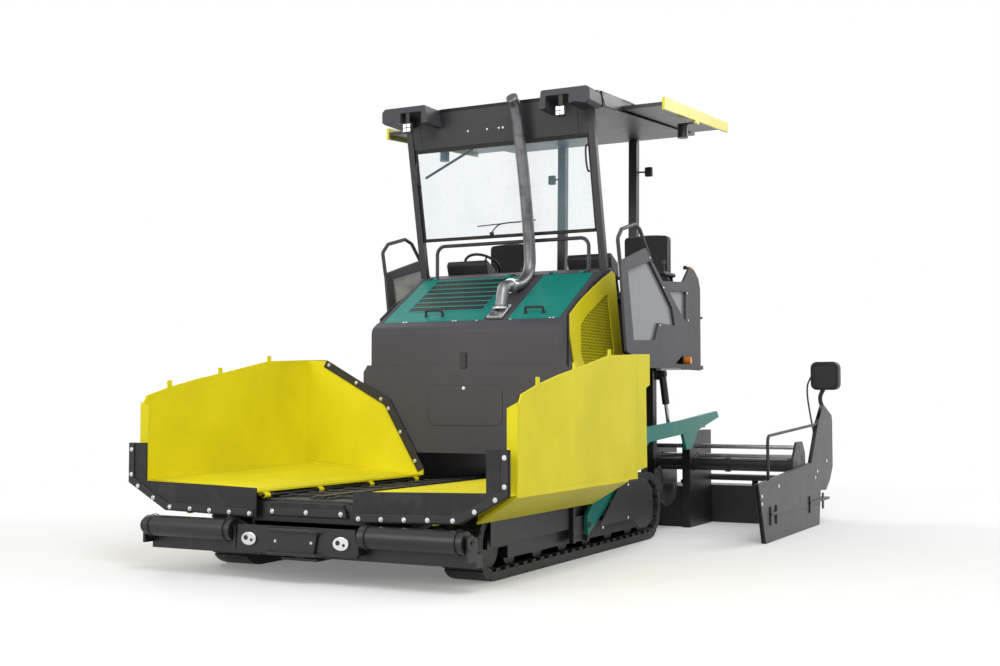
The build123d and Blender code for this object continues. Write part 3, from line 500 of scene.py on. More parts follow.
class Shape:
    """A piece in the making."""

    def __init__(self):
        self.bm = bmesh.new()

    def soften(self, verts, radius, segments=2):
        edges = {edge for vert in verts for edge in vert.link_edges}
        sharp = [edge for edge in edges if edge.calc_face_angle(0) > sharp_angle]
        bmesh.ops.bevel(self.bm, geom=sharp, offset=radius, affect="EDGES", segments=segments, profile=0.5,
                        material=-1)

    def box(self, low, high, soft=0.003):
        made = bmesh.ops.create_cube(self.bm, size=1)["verts"]
        low, high = Vector(low), Vector(high)
        bmesh.ops.scale(self.bm, verts=made, vec=[abs(part) for part in high - low])
        bmesh.ops.translate(self.bm, verts=made, vec=(low + high) / 2)
        if soft:
            self.soften(made, soft)

    def rod(self, start, end, radius, tip=None, sides=20):
        start, end = Vector(start), Vector(end)
        along = end - start
        made = bmesh.ops.create_cone(
            self.bm, cap_ends=True, segments=sides, radius1=radius, radius2=radius if tip is None else tip,
            depth=along.length,
        )["verts"]
        turn = along.to_track_quat("Z", "Y").to_matrix().to_4x4()
        bmesh.ops.transform(self.bm, verts=made, matrix=Matrix.Translation((start + end) / 2) @ turn)

    def corners(self, outline, plane, level):
        """New corners of an outline that is drawn in the two axes that its plane leaves."""
        return [self.bm.verts.new([(a, b, level)[part] for part in axis_order[plane]]) for a, b in outline]

    def thicken(self, faces, plane, thick):
        """Extrude faces out of their plane, and return the new corners."""
        grown = bmesh.ops.extrude_face_region(self.bm, geom=faces)["geom"]
        far = [item for item in grown if isinstance(item, bmesh.types.BMVert)]
        bmesh.ops.translate(self.bm, verts=far, vec=[(0, 0, thick)[part] for part in axis_order[plane]])
        return far

    def plate(self, outline, plane, level, thick, soft=0.002):
        """A flat plate."""
        near = self.corners(outline, plane, level)
        far = self.thicken([self.bm.faces.new(near)], plane, thick)
        if soft:
            self.soften(near + far, soft)

    def framed(self, outline, hole, plane, level, thick, soft=0.002):
        """A flat plate with one opening."""
        edges = []
        for loop in (outline, hole):
            near = self.corners(loop, plane, level)
            edges += [self.bm.edges.new(pair) for pair in zip(near, near[1:] + near[:1])]
        filled = bmesh.ops.triangle_fill(self.bm, use_beauty=True, use_dissolve=False, edges=edges)["geom"]
        faces = [item for item in filled if isinstance(item, bmesh.types.BMFace)]
        near = list({vert for face in faces for vert in face.verts})
        far = self.thicken(faces, plane, thick)
        if soft:
            self.soften(near + far, soft, 1)

    def taper(self, front, rear):
        """A solid between an outline in Y and Z at one place and a like one further back."""
        edges = []
        for place, outline in (front, rear):
            edges += self.bm.faces.new(self.corners(outline, "x", place)).edges[:]
        bmesh.ops.bridge_loops(self.bm, edges=edges)

    def turned(self, profile, place, way, sides=24):
        """A closed profile of radius and height, spun round an axis."""
        corners = [self.bm.verts.new((radius, 0, height)) for radius, height in profile]
        edges = [self.bm.edges.new(pair) for pair in zip(corners, corners[1:] + corners[:1])]
        bmesh.ops.spin(self.bm, geom=corners + edges, cent=(0, 0, 0), axis=(0, 0, 1), angle=tau, steps=sides,
                       use_merge=True)
        seen = {vert for edge in edges for vert in edge.verts}
        reach = list(seen)
        while reach:
            vert = reach.pop()
            for edge in vert.link_edges:
                other = edge.other_vert(vert)
                if other not in seen:
                    seen.add(other)
                    reach.append(other)
        turn = Vector(way).to_track_quat("Z", "Y").to_matrix().to_4x4()
        bmesh.ops.transform(self.bm, verts=list(seen), matrix=Matrix.Translation(place) @ turn)

    def ring(self, place, way, outer, inner, thick, sides=24):
        half = thick / 2
        self.turned(((inner, -half), (outer, -half), (outer, half), (inner, half)), place, way, sides)

    def pipe(self, points, radius, roundness=3):
        """A bent round bar that follows its points smoothly."""
        data = curve_of("bent_bar", points, radius, roundness, 8)
        holder = bpy.data.objects.new("bent_bar", data)
        mesh = bpy.data.meshes.new_from_object(holder)
        self.bm.from_mesh(mesh)
        bmesh.ops.remove_doubles(self.bm, verts=self.bm.verts, dist=0.00001)
        bpy.data.objects.remove(holder)
        bpy.data.curves.remove(data)
        bpy.data.meshes.remove(mesh)

    def keep(self, name, slot, body, material=None):
        return keep(name, mesh_of(name, self.bm, material or finishes[slot]), body)


def slab(name, slot, body, *plates, material=None):
    """A piece of flat plates, each given as outline, plane, level, thickness and softness."""
    shape = Shape()
    for plate in plates:
        shape.plate(*plate)
    return shape.keep(name, slot, body, material)


def bolts(name, body, spots, way, size=0.011):
    """Domed bolt heads on washers."""
    shape = Shape()
    way = Vector(way).normalized()
    for spot in spots:
        spot = Vector(spot)
        shape.rod(spot - way * 0.001, spot + way * size * 0.22, size * 1.45, sides=16)
        shape.rod(spot + way * size * 0.2, spot + way * size * 0.75, size, tip=size * 0.7, sides=12)
    return shape.keep(name, "silver", body)


def circle(count):
    """The angles of equal steps round a circle."""
    return [step * tau / count for step in range(count)]


def flip(way, outline):
    """An outline in Y and Z, mirrored to the right side where way is -1."""
    return [(way * y, z) for y, z in outline]


def rounded(low, high, radius, steps=5):
    """The outline of a rectangle with round corners."""
    (x0, y0), (x1, y1) = low, high
    corners = ((x1 - radius, y1 - radius, 0), (x0 + radius, y1 - radius, 1), (x0 + radius, y0 + radius, 2),
               (x1 - radius, y0 + radius, 3))
    return [
        (x + radius * cos((turn + step / steps) * pi / 2), y + radius * sin((turn + step / steps) * pi / 2))
        for x, y, turn in corners for step in range(steps + 1)
    ]


def eased(points, radii, steps=6):
    """An outline whose numbered corners are rounded."""
    outline = []
    for index, point in enumerate(points):
        here = Vector(point)
        if index not in radii:
            outline.append(tuple(here))
            continue
        back = (Vector(points[index - 1]) - here).normalized()
        onward = (Vector(points[(index + 1) % len(points)]) - here).normalized()
        half = back.angle(onward) / 2
        start, end = (here + way * radii[index] / tan(half) for way in (back, onward))
        for step in range(steps + 1):
            share = step / steps
            outline.append(tuple(
                start * (1 - share) ** 2 + here * 2 * share * (1 - share) + end * share ** 2
            ))
    return outline


def band(points, width):
    """The outline of a strip of this width on the left of a line, or on its right where width is negative."""
    line = [Vector(point) for point in points]
    runs = [(second - first).normalized() for first, second in zip(line, line[1:])]
    normals = [Vector((-run.y, run.x)) for run in runs]
    inner = []
    for index, point in enumerate(line):
        near = normals[max(0, index - 1):index + 1]
        middle = sum(near, Vector((0, 0)))
        inner.append(point + middle / middle.dot(near[0]) * width)
    return [tuple(point) for point in line + inner[::-1]]


# Hopper: strips along the rear walls, bars and bolts on the flaps, yellow lugs below them
def trim_hopper():
    forward = (1, 0, 0)
    rear_edge = ((1.378, 1.612), (0.717, 1.262), (0.362, 0.668))
    flap_edge = ((1.592, 0.928), (1.592, 0.642), (1.238, 0.452), (0.425, 0.432))
    strip_bolts = ((1.352, 1.567), (1.06, 1.406), (0.80, 1.263), (0.722, 1.18), (0.60, 0.977), (0.45, 0.728))
    flap_bolts = ((1.566, 0.885), (1.566, 0.70), (1.50, 0.615), (1.35, 0.533), (1.19, 0.471), (1.00, 0.466),
                  (0.82, 0.461), (0.64, 0.456), (0.46, 0.453))
    for side, way in halves:
        body = f"wing_{side}"
        slab(f"wing_strip_{side}", "paint_black", body,
             (flip(way, band(rear_edge, 0.068)), "x", 0.8498, 0.010))
        bolts(f"wing_strip_bolts_{side}", body, [(0.8595, way * y, z) for y, z in strip_bolts], forward)
        slab(f"flap_bar_{side}", "paint_black", body,
             (flip(way, band(flap_edge, -0.052)), "x", 3.0958, 0.0095))
        bolts(f"flap_bolts_{side}", body, [(3.105, way * y, z) for y, z in flap_bolts], forward, 0.0115)
        lugs = Shape()
        for y in (0.60, 1.02):
            lugs.box((3.030, way * (y + 0.03), 0.428), (3.0825, way * y, 0.468), 0.006)
        lugs.box((3.030, way * 0.60, 0.446), (3.060, way * 1.05, 0.466), 0.004)
        lugs.keep(f"flap_lugs_{side}", "paint_yellow", body)


# Flap between the wings: a clamping bar with three bolts and the rubber's folded upper edge
def trim_centre_flap():
    slab("centre_bar", "paint_black", "chassis",
         (((-0.335, 0.446), (0.335, 0.446), (0.325, 0.500), (-0.325, 0.500)), "x", 3.0555, 0.010))
    bolts("centre_bar_bolts", "chassis", [(3.065, y, 0.473) for y in (-0.29, 0.0, 0.29)], (1, 0, 0), 0.0115)
    slab("centre_fold", "rubber", "chassis",
         (((3.052, 0.500), (3.056, 0.502), (2.985, 0.556), (2.970, 0.550)), "y", -0.30, 0.60, 0.0015))


# Push beam: the jaw between its plates, silver eyes and roller caps
def trim_push_beam():
    jaw_lip = ((3.188, -0.24), (3.238, -0.20), (3.238, 0.20), (3.188, 0.24))
    slab("push_jaw", "paint_black", "push_beam",
         *((jaw_lip, "z", height, 0.022, 0.004) for height in (0.192, 0.352)),
         (((-0.17, 0.205), (0.17, 0.205), (0.20, 0.360), (-0.20, 0.360)), "x", 3.186, 0.026, 0.006))
    oval = [(0.064 * cos(turn), 0.29 + 0.046 * sin(turn)) for turn in circle(28)]
    eyes, bores = Shape(), Shape()
    for eye_y in (-0.385, 0.385):
        eyes.plate([(eye_y + y, z) for y, z in oval], "x", 3.189, 0.018, 0.004)
        for y, z, radius in ((-0.022, 0.296, 0.017), (0.026, 0.282, 0.011)):
            bores.rod((3.205, eye_y + y, z), (3.209, eye_y + y, z), radius)
    eyes.keep("push_eyes", "silver", "push_beam")
    bores.keep("push_eye_bores", "paint_black", "push_beam")
    bolts("push_jaw_bolts", "push_beam", [(3.212, y, 0.285) for y in (-0.15, 0.15)], (1, 0, 0), 0.007)
    roller_x, roller_z = 3.168, 0.34
    cap_profile = ((0.012, 0), (0.052, 0), (0.055, 0.004), (0.050, 0.010), (0.030, 0.010), (0.028, 0.006),
                   (0.012, 0.006))
    for side, way in halves:
        rings = Shape()
        for y in (0.590, 1.275):
            rings.ring((roller_x, way * y, roller_z), (0, way, 0), 0.0848, 0.080, 0.007, 40)
        rings.keep(f"roller_rings_{side}", "paint_black", f"push_roller_{side}")
        cap = Shape()
        cap.turned(cap_profile, (roller_x, way * 1.356, roller_z), (0, way, 0), 28)
        cap.keep(f"roller_cap_{side}", "paint_black", "push_beam")


# Tracks: a link lug behind the outer end of each shoe, bolts beside them, and sleeves on the rear posts
idler = Vector((2.450, 0.250))  # its height is also its radius, and so is the sprocket's
sprocket = Vector((-0.560, 0.300))
shoe_count = 54


def shoe_places():
    """The middle of each shoe's outside in X and Z, and the angle that it faces."""
    front, rear = idler.y, sprocket.y
    run = ((idler - sprocket).length_squared - (rear - front) ** 2) ** 0.5
    low, top = -pi / 2, pi / 2 + 2 * atan2(front - rear, idler.x - sprocket.x)
    front_arc = front * (top - low)
    rear_arc = rear * (low + tau - top)
    pitch = (2 * run + front_arc + rear_arc) / shoe_count
    for shoe in range(shoe_count):
        along = (shoe + 0.5) * pitch
        if along < run:
            yield Vector((sprocket.x + along, 0)), low
        elif along < run + front_arc:
            turn = low + (along - run) / front
            yield idler + front * Vector((cos(turn), sin(turn))), turn
        elif along < 2 * run + front_arc:
            back = (along - run - front_arc) * Vector((-sin(top), cos(top)))
            yield idler + front * Vector((cos(top), sin(top))) + back, top
        else:
            turn = top + (along - 2 * run - front_arc) / rear
            yield sprocket + rear * Vector((cos(turn), sin(turn))), turn


def trim_tracks():
    # A lug's corners: their depth behind the shoe's outside, and their place along the track
    section = ((0.020, -0.048), (0.020, 0.048), (0.082, 0.026), (0.082, -0.026))
    lugs = []
    for spot, turn in shoe_places():
        out, onward = Vector((cos(turn), sin(turn))), Vector((-sin(turn), cos(turn)))
        lugs.append([spot - depth * out + along * onward for depth, along in section])
    shield_bolts = ((-0.517, 2.542), (-0.874, 2.298), (-1.544, 2.295), (-1.567, 2.031), (-0.774, 1.942))
    guard_bolts = ((0.278, 0.541), (0.282, 0.269), (0.829, 0.234))
    rows = (("shield", 1.2, shield_bolts, 0.007), ("guard", 1.291, guard_bolts, 0.009))
    post_line = ((-2.165, 1.80), (-2.075, 1.80), (-2.125, 3.985), (-2.215, 3.985))
    post_y, post_width = 0.41, 0.09
    for side, way in halves:
        slab(f"track_links_{side}", "track_steel", "chassis",
             *((corners, "y", way * 1.092, way * 0.058, 0) for corners in lugs))
        for name, y, spots, size in rows:
            bolts(f"{name}_bolts_{side}", "chassis", [(x, way * y, z) for x, z in spots], (0, way, 0), size)
        slab(f"rear_post_{side}", "paint_dark", "chassis",
             (post_line, "y", way * post_y - post_width / 2, post_width, 0.006), material=charcoal_finish)


# Hood: pull slot and service panel on the front, louvres and handles on the lids
hood_half = 0.917
hood_skin = hood_half + 0.0002
hood_rise = ((0.664, 1.969), (0.449, 2.099), (0.201, 2.216), (-0.057, 2.331))
lid_front = (0.740, 1.930)
lid_rear = (-0.010, 2.385)
slope = atan2(lid_rear[1] - lid_front[1], lid_front[0] - lid_rear[0])
lid_up = Vector((sin(slope), 0, cos(slope)))
lid_back = Vector((-cos(slope), 0, sin(slope)))


def on_lid(x, y, lift=0.0):
    return Vector((x, y, lid_front[1] + (lid_front[0] - x) * tan(slope))) + lid_up * lift


def trim_hood():
    face = 0.832
    slab("panel_seams", "paint_black", "chassis",
         (rounded((-0.333, 1.034), (0.390, 1.380), 0.065), "x", face - 0.0005, 0.0012, 0),
         (rounded((-0.022, 1.516), (0.052, 1.664), 0.012), "x", face - 0.0005, 0.0012, 0))
    slab("service_panel", "paint_dark", "chassis",
         (rounded((-0.328, 1.039), (0.385, 1.375), 0.060), "x", face, 0.0026, 0.001))
    pull = Shape()
    pull.plate(rounded((-0.016, 1.522), (0.046, 1.658), 0.008), "x", face, 0.004, 0.0015)
    pull.box((face + 0.002, 0.026, 1.530), (face + 0.012, 0.042, 1.650), 0.003)
    pull.keep("front_pull", "console_plastic", "chassis")
    bolts("panel_bolt", "chassis", [(face + 0.002, 0.016, 1.354)], (1, 0, 0), 0.010)
    lip = ((0.727, -0.15), (0.727, -0.12), (0.729, 0.087), (0.729, 0.41), (0.724, 0.775), (0.724, 0.806),
           (0.727, -0.62), (0.727, -0.65))
    bolts("lip_bolts", "chassis", [on_lid(x, y) for x, y in lip], lid_up, 0.008)
    gasket = band(((0.664, 1.50), *hood_rise, (-0.240, 2.402)), -0.020)
    for side, way in halves:
        slab(f"hood_gasket_{side}", "rubber", "chassis", (gasket, "y", way * hood_skin, way * 0.011, 0.002))


def place_on_lid(shape, x, y):
    """Carry a shape that was made flat round the origin, its rear towards -X, onto the lids' slope."""
    turn = Matrix.Rotation(slope, 4, "Y")
    bmesh.ops.transform(shape.bm, verts=shape.bm.verts, matrix=Matrix.Translation(on_lid(x, y)) @ turn)


def trim_lids():
    slot_count = 7
    reach = 0.312
    pitch = 2 * reach / slot_count
    louvre_x, louvre_y = 0.295, -0.325
    shadow = Shape()
    shadow.box((-reach, -0.375, -0.0005), (reach, 0.375, 0.0012), 0.0)
    place_on_lid(shadow, louvre_x, louvre_y)
    shadow.keep("louvre_shadow", "paint_black", "hood_lid_right")
    slats = Shape()
    slat = ((-0.010, 0.0), (0.010, 0.0), (0.009, 0.0025), (-0.010, 0.0042))
    for row in range(slot_count + 1):
        middle = -reach + row * pitch
        slats.plate([(middle + x, z) for x, z in slat], "y", -0.380, 0.760, 0.0008)
    for edge in (-0.382, 0.382):
        slats.box((-reach - 0.010, edge - 0.008, 0.0), (reach + 0.010, edge + 0.008, 0.0042), 0.002)
    place_on_lid(slats, louvre_x, louvre_y)
    slats.keep("louvre_slats", "paint_teal", "hood_lid_right")
    rise, inward = lid_up * 0.052 + lid_back * 0.012, Vector((0, 0.012, 0))
    for side, low, high in (("right", -0.467, -0.301), ("left", 0.511, 0.681)):
        start, end = on_lid(0.640, low), on_lid(0.640, high)
        grip = Shape()
        grip.pipe((start, start + rise * 0.9, start + rise + inward, end + rise - inward, end + rise * 0.9,
                   end), 0.0105)
        for foot in (start, end):
            grip.rod(foot - lid_up * 0.001, foot + lid_up * 0.008, 0.019, tip=0.016, sides=16)
        grip.keep(f"lid_handle_{side}", "console_plastic", f"hood_lid_{side}")


# Engine side grilles: a perforated sheet in a frame, a black sheet of painted shade behind it, and a cowl
# further in
def inside(spot, outline):
    """Whether a point lies within an outline."""
    crossings = 0
    for (x0, z0), (x1, z1) in zip(outline, outline[1:] + outline[:1]):
        if (z0 > spot[1]) != (z1 > spot[1]) and spot[0] < x0 + (spot[1] - z0) * (x1 - x0) / (z1 - z0):
            crossings += 1
    return crossings % 2 == 1


def punched_sheet(outline, pitch, hole, level, thick):
    """Rows of six-sided cells, each with a hole, whose centres lie inside an outline in X and Z."""
    shape = Shape()
    cell = bmesh.new()
    for radius in (pitch / 3 ** 0.5, hole):
        bmesh.ops.create_circle(cell, segments=6, radius=radius)
    bmesh.ops.bridge_loops(cell, edges=cell.edges[:])
    for angle, axis in ((pi / 6, "Z"), (pi / 2, "X")):
        bmesh.ops.rotate(cell, verts=cell.verts, cent=(0, 0, 0), matrix=Matrix.Rotation(angle, 3, axis))
    stamp = bpy.data.meshes.new("cell")
    cell.to_mesh(stamp)
    cell.free()
    xs, zs = zip(*outline)
    row = 0
    z = min(zs)
    while z < max(zs):
        x = min(xs) + (row % 2) * pitch / 2
        while x < max(xs):
            if inside((x, z), outline):
                before = len(shape.bm.verts)
                shape.bm.from_mesh(stamp)
                shape.bm.verts.ensure_lookup_table()
                bmesh.ops.translate(shape.bm, verts=shape.bm.verts[before:], vec=(x, level, z))
            x += pitch
        z += pitch * 3 ** 0.5 / 2
        row += 1
    bpy.data.meshes.remove(stamp)
    bmesh.ops.remove_doubles(shape.bm, verts=shape.bm.verts, dist=0.0002)
    bmesh.ops.solidify(shape.bm, geom=shape.bm.faces[:], thickness=thick)
    return shape


def trim_grilles():
    rim = eased((*hood_rise, (-0.272, 2.412), (-0.337, 2.387), (-0.421, 2.017), (-0.512, 1.686),
                 (-0.597, 1.668), (0.550, 1.497), (0.665, 1.819)), {0: 0.030, 5: 0.020, 9: 0.060})
    field = eased(((-0.162, 2.203), (-0.318, 1.669), (0.332, 1.537), (0.429, 1.636), (0.436, 1.885),
                   (0.328, 1.963)), {0: 0.050, 1: 0.050, 2: 0.050, 3: 0.060, 4: 0.060, 5: 0.060})
    cowl = ((-0.242, 1.600), (-0.242, 2.395), (-0.330, 2.365), (-0.410, 2.010), (-0.500, 1.700),
            (-0.560, 1.690), (-0.560, 1.600))
    pitch, hole = 0.030, 0.0098
    sheet_y, shade_sheet_y, cowl_y = 0.9232, 0.9174, 0.905
    for side, way in halves:
        edge = Shape()
        edge.framed(rim, field, "y", way * hood_skin, way * 0.0158, 0.003)
        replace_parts(edge.keep(f"grille_frame_{side}", "paint_yellow", "chassis"), "side_grilles")
        sheet = punched_sheet(field, pitch, hole, way * sheet_y, way * 0.0012)
        sheet.keep(f"grille_sheet_{side}", "paint_yellow", "chassis")
        # A black sheet behind the holes: painted shade of the space inside the hood.
        slab(f"grille_shadow_{side}", "paint_black", "chassis", (field, "y", way * shade_sheet_y, way * 0.0012, 0))
        slab(f"cowl_{side}", "paint_dark", "chassis", (cowl, "y", way * cowl_y, way * 0.012, 0.002))


# Hopper: a liner that rises over each floor to the wall, a sill below the wall, and the cheek behind it
def line_hopper():
    inner_y, outer_y = 0.402, 1.587
    sill_y, cheek_y = 1.5885, 1.588
    floor_front = ((inner_y, 0.6125), (outer_y, 0.6505), (outer_y, 0.6535), (inner_y, 0.6155))
    floor_rear = ((inner_y, 0.6125), (outer_y, 0.7025), (outer_y, 0.7065), (inner_y, 0.6155))
    sill = ((2.960, 0.632), (0.848, 0.632), (0.848, 0.706), (2.960, 0.640))
    cheek_side = ((0.838, 1.616), (0.568, 1.625), (0.570, 1.375), (0.655, 1.350), (0.640, 0.714),
                  (0.838, 0.694))
    cheek_front = ((hood_half, 0.760), (hood_half, 1.340), (1.366, 1.586), (outer_y, 1.586), (outer_y, 0.760))
    for side, way in halves:
        liner = Shape()
        liner.taper((3.080, flip(way, floor_front)), (0.852, flip(way, floor_rear)))
        liner.keep(f"floor_liner_{side}", "paint_yellow", f"wing_{side}")
        slab(f"wall_sill_{side}", "paint_yellow", f"wing_{side}", (sill, "y", way * sill_y, way * 0.0112, 0))
        cheek = slab(f"cheek_{side}", "paint_yellow", "chassis",
                     (cheek_side, "y", way * cheek_y, way * 0.012), (flip(way, cheek_front), "x", 0.780, 0.012))
        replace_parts(cheek, "side_covers")


# Hood nose: the front sheet's rounded fold up to the lids
def fold_nose():
    fold = eased(((0.8322, 1.555), (0.8322, 1.8765), (0.742, 1.9335), (0.7403, 1.9302), (0.8282, 1.840),
                  (0.8282, 1.555)), {1: 0.085})
    slab("hood_nose", "paint_dark", "chassis", (fold, "y", -hood_half, 2 * hood_half, 0))


# Roof: shell round the sliding boards, visor, and pods with square lamps
roof_half = 1.050
roof_rear = -2.260


def roof_under(x):
    return 3.800 + (0.180 - x) / 2.440 * 0.200


def make_roof():
    half, rear_x = roof_half, roof_rear
    shell = Shape()
    for line, soft in (
        (((0.240, 3.930), (rear_x, 4.080), (rear_x, 4.068), (0.234, 3.917)), 0.003),
        (((0.180, 3.800), (rear_x, 4.000), (rear_x, 4.010), (0.184, 3.811)), 0.002),
        (((0.180, 3.800), (0.240, 3.930), (0.215, 3.930), (0.155, 3.802)), 0.004),
        (((rear_x, 4.000), (rear_x, 4.080), (-2.240, 4.078), (-2.240, 3.998)), 0.004),
    ):
        shell.plate(line, "y", -half, 2 * half, soft)
    for way in (1, -1):
        for front, rear in ((0.200, -0.236), (-2.124, -2.250)):
            cheek = ((front, roof_under(front) + 0.002), (front, 3.920 + (0.240 - front) * 0.06),
                     (rear, 3.920 + (0.240 - rear) * 0.06), (rear, roof_under(rear) + 0.002))
            shell.plate(cheek, "y", way * (half - 0.020), way * 0.020)
    rib_line = ((0.10, 3.936), (0.06, 3.950), (-2.12, 4.082), (-2.16, 4.072))
    for rib in (-0.55, 0, 0.55):
        shell.plate(rib_line, "y", rib - 0.035, 0.070, 0.004)
    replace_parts(shell.keep("roof_shell", "paint_dark", "chassis", charcoal_finish), "roof")
    middle_line = ((0.150, 3.590), (0.240, 3.928), (0.214, 3.905), (0.126, 3.592))
    end_line = ((0.152, 3.590), (0.238, 3.920), (0.208, 3.900), (0.124, 3.594))
    visor_y = 0.800
    visor = slab("visor", "paint_dark", "chassis", (middle_line, "y", -visor_y, 2 * visor_y, 0.004),
                 *((end_line, "y", way * visor_y, way * 0.125, 0.004) for way in (1, -1)),
                 material=charcoal_finish)
    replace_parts(visor, "roof")
    slab("roof_front_band", "paint_black", "chassis",
         (((0.196, 3.832), (0.242, 3.932), (0.246, 3.930), (0.200, 3.830)), "y", -0.560, 1.120, 0.001))
    bolts("visor_bolts", "chassis", [(0.186, y, 3.715) for y in (-0.30, -0.10, 0.02, 0.06)],
          (0.97, 0, -0.24), 0.007)
    section = eased(((0.560, 3.765), (0.580, 3.930), (1.010, 3.930), (1.040, 3.900), (1.040, 3.805),
                     (1.000, 3.778), (0.900, 3.800), (0.842, 3.788), (0.842, 3.873), (0.624, 3.873),
                     (0.624, 3.765)), {1: 0.020, 2: 0.020, 3: 0.020, 5: 0.030, 6: 0.040})
    tail_front = ((0.86, 3.80), (0.86, 3.925), (1.036, 3.925), (1.036, 3.80))
    tail_rear = ((1.010, 3.905), (1.010, 3.975), (1.049, 3.975), (1.049, 3.905))
    cell = 0.0185, 0.0175
    for side, way in halves:
        pod = Shape()
        pod.plate(flip(way, section), "x", 0.205, 0.282, 0.006)
        pod.taper((0.300, flip(way, tail_front)), (-0.466, flip(way, tail_rear)))
        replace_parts(pod.keep(f"roof_pod_{side}", "paint_dark", "chassis"), "roof")
        housing = Shape()
        housing.box((0.455, way * 0.7175, 3.688), (0.494, way * 0.8185, 3.780), 0.010)
        housing.box((0.468, way * 0.748, 3.776), (0.481, way * 0.788, 3.875), 0.002)
        housing.box((-2.230, way * 0.520, 3.600), (-2.180, way * 0.600, 3.700), 0.012)
        housing.rod((-2.180, way * 0.440, 3.650), (-2.200, way * 0.522, 3.650), 0.009)
        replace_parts(housing.keep(f"lamp_housings_{side}", "console_plastic", "chassis"), "lamps")
        lens = Shape()
        for y in (way * 0.7475, way * 0.7885):
            for z in (3.7145, 3.7535):
                lens.box((0.492, y - cell[0], z - cell[1]), (0.498, y + cell[0], z + cell[1]))
        lens.keep(f"lamp_lens_{side}", "silver", "chassis")


# Exhaust: foot plate, elbow, clamps and the stack up past the roof
def make_exhaust():
    stack_y, stack_radius = 0.262, 0.054
    foot_front, foot_rear = 0.735, 0.545
    foot = [on_lid(x, 0, lift) for x, lift in
            ((foot_front, 0.001), (foot_front, 0.034), (foot_rear, 0.040), (foot_rear, 0.001))]
    plate = slab("exhaust_foot", "bare_steel", "chassis",
                 ([(spot.x, spot.z) for spot in foot], "y", 0.187, 0.150, 0.008))
    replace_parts(plate, "exhaust_pipe")
    start = on_lid(0.600, stack_y, 0.030)
    course = ((0.588, 2.160), (0.560, 2.232), (0.430, 2.252), (0.290, 2.262), (0.130, 2.330), (0.040, 2.440),
              (0.048, 2.640), (0.157, 3.224), (0.250, 3.560), (0.323, 3.815), (0.352, 3.880), (0.410, 3.920))
    stack = Shape()
    stack.pipe((start, *((x, stack_y, z) for x, z in course)), stack_radius, 7)
    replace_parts(stack.keep("exhaust_stack", "bare_steel", "chassis", exhaust_finish), "exhaust_pipe")
    clamps = Shape()
    run = Vector((-0.140, 0, 0.010)).normalized()
    for x, z in ((0.440, 2.249), (0.405, 2.2535)):
        clamps.ring((x, stack_y, z), run, 0.064, 0.053, 0.016, 32)
    clamps.ring(tuple(start + lid_up * 0.004), (0, 0, 1), 0.074, 0.050, 0.014, 32)
    clamps.box((0.395, 0.300, 2.285), (0.450, 0.318, 2.305))
    clamps.keep("exhaust_clamps", "silver", "chassis")
    bolts("exhaust_foot_bolts", "chassis",
          [on_lid(x, y, 0.036) for x in (0.565, 0.715) for y in (0.203, 0.321)], lid_up, 0.008)


# Windscreen frame, wiper and struts
screen_low, screen_high, screen_half = 2.745, 3.590, 0.889


def on_screen(y, z, off=0.0):
    return Vector((-0.102 + (z - 2.440) * 0.2087 + off, y, z))


def trim_screen():
    rims = Shape()
    edge, width = 0.030, 0.021
    for low, high, start, reach in (
        (screen_low, screen_low + edge, -screen_half, 2 * screen_half),
        (screen_high - edge, screen_high, -screen_half, 2 * screen_half),
        (screen_low, screen_high, screen_half - width, width),
        (screen_low, screen_high, width - screen_half, -width),
    ):
        foot, head, thick = on_screen(0, low).x, on_screen(0, high).x, 0.009
        rims.plate(((foot - thick, low), (head - thick, high), (head + thick, high), (foot + thick, low)),
                   "y", start, reach, 0.003)
    rims.keep("screen_rims", "rubber", "chassis")
    wiper = Shape()
    wiper.rod(on_screen(-0.159, 2.784, 0.006), on_screen(-0.159, 2.784, 0.034), 0.020, tip=0.014)
    arm = ((-0.159, 2.784, 0.030), (-0.100, 2.845, 0.034), (-0.030, 2.874, 0.030), (0.142, 2.872, 0.022))
    wiper.pipe([on_screen(*spot) for spot in arm], 0.006)
    wiper.rod(on_screen(-0.300, 2.860, 0.012), on_screen(0.300, 2.882, 0.012), 0.005, sides=8)
    wiper.keep("wiper", "console_plastic", "chassis")
    struts = Shape()
    struts.rod((0.070, -0.814, 3.339), (0.118, -0.289, 3.559), 0.012)
    out = Vector((0.045, 0, -0.010))
    for y, low in ((-0.862, 3.262), (0.862, 3.266)):
        head, foot = on_screen(y, 3.490, 0.014), on_screen(y, low, 0.014)
        struts.pipe((head, head + out, foot + out, foot), 0.009)
    struts.keep("screen_struts", "console_plastic", "chassis")


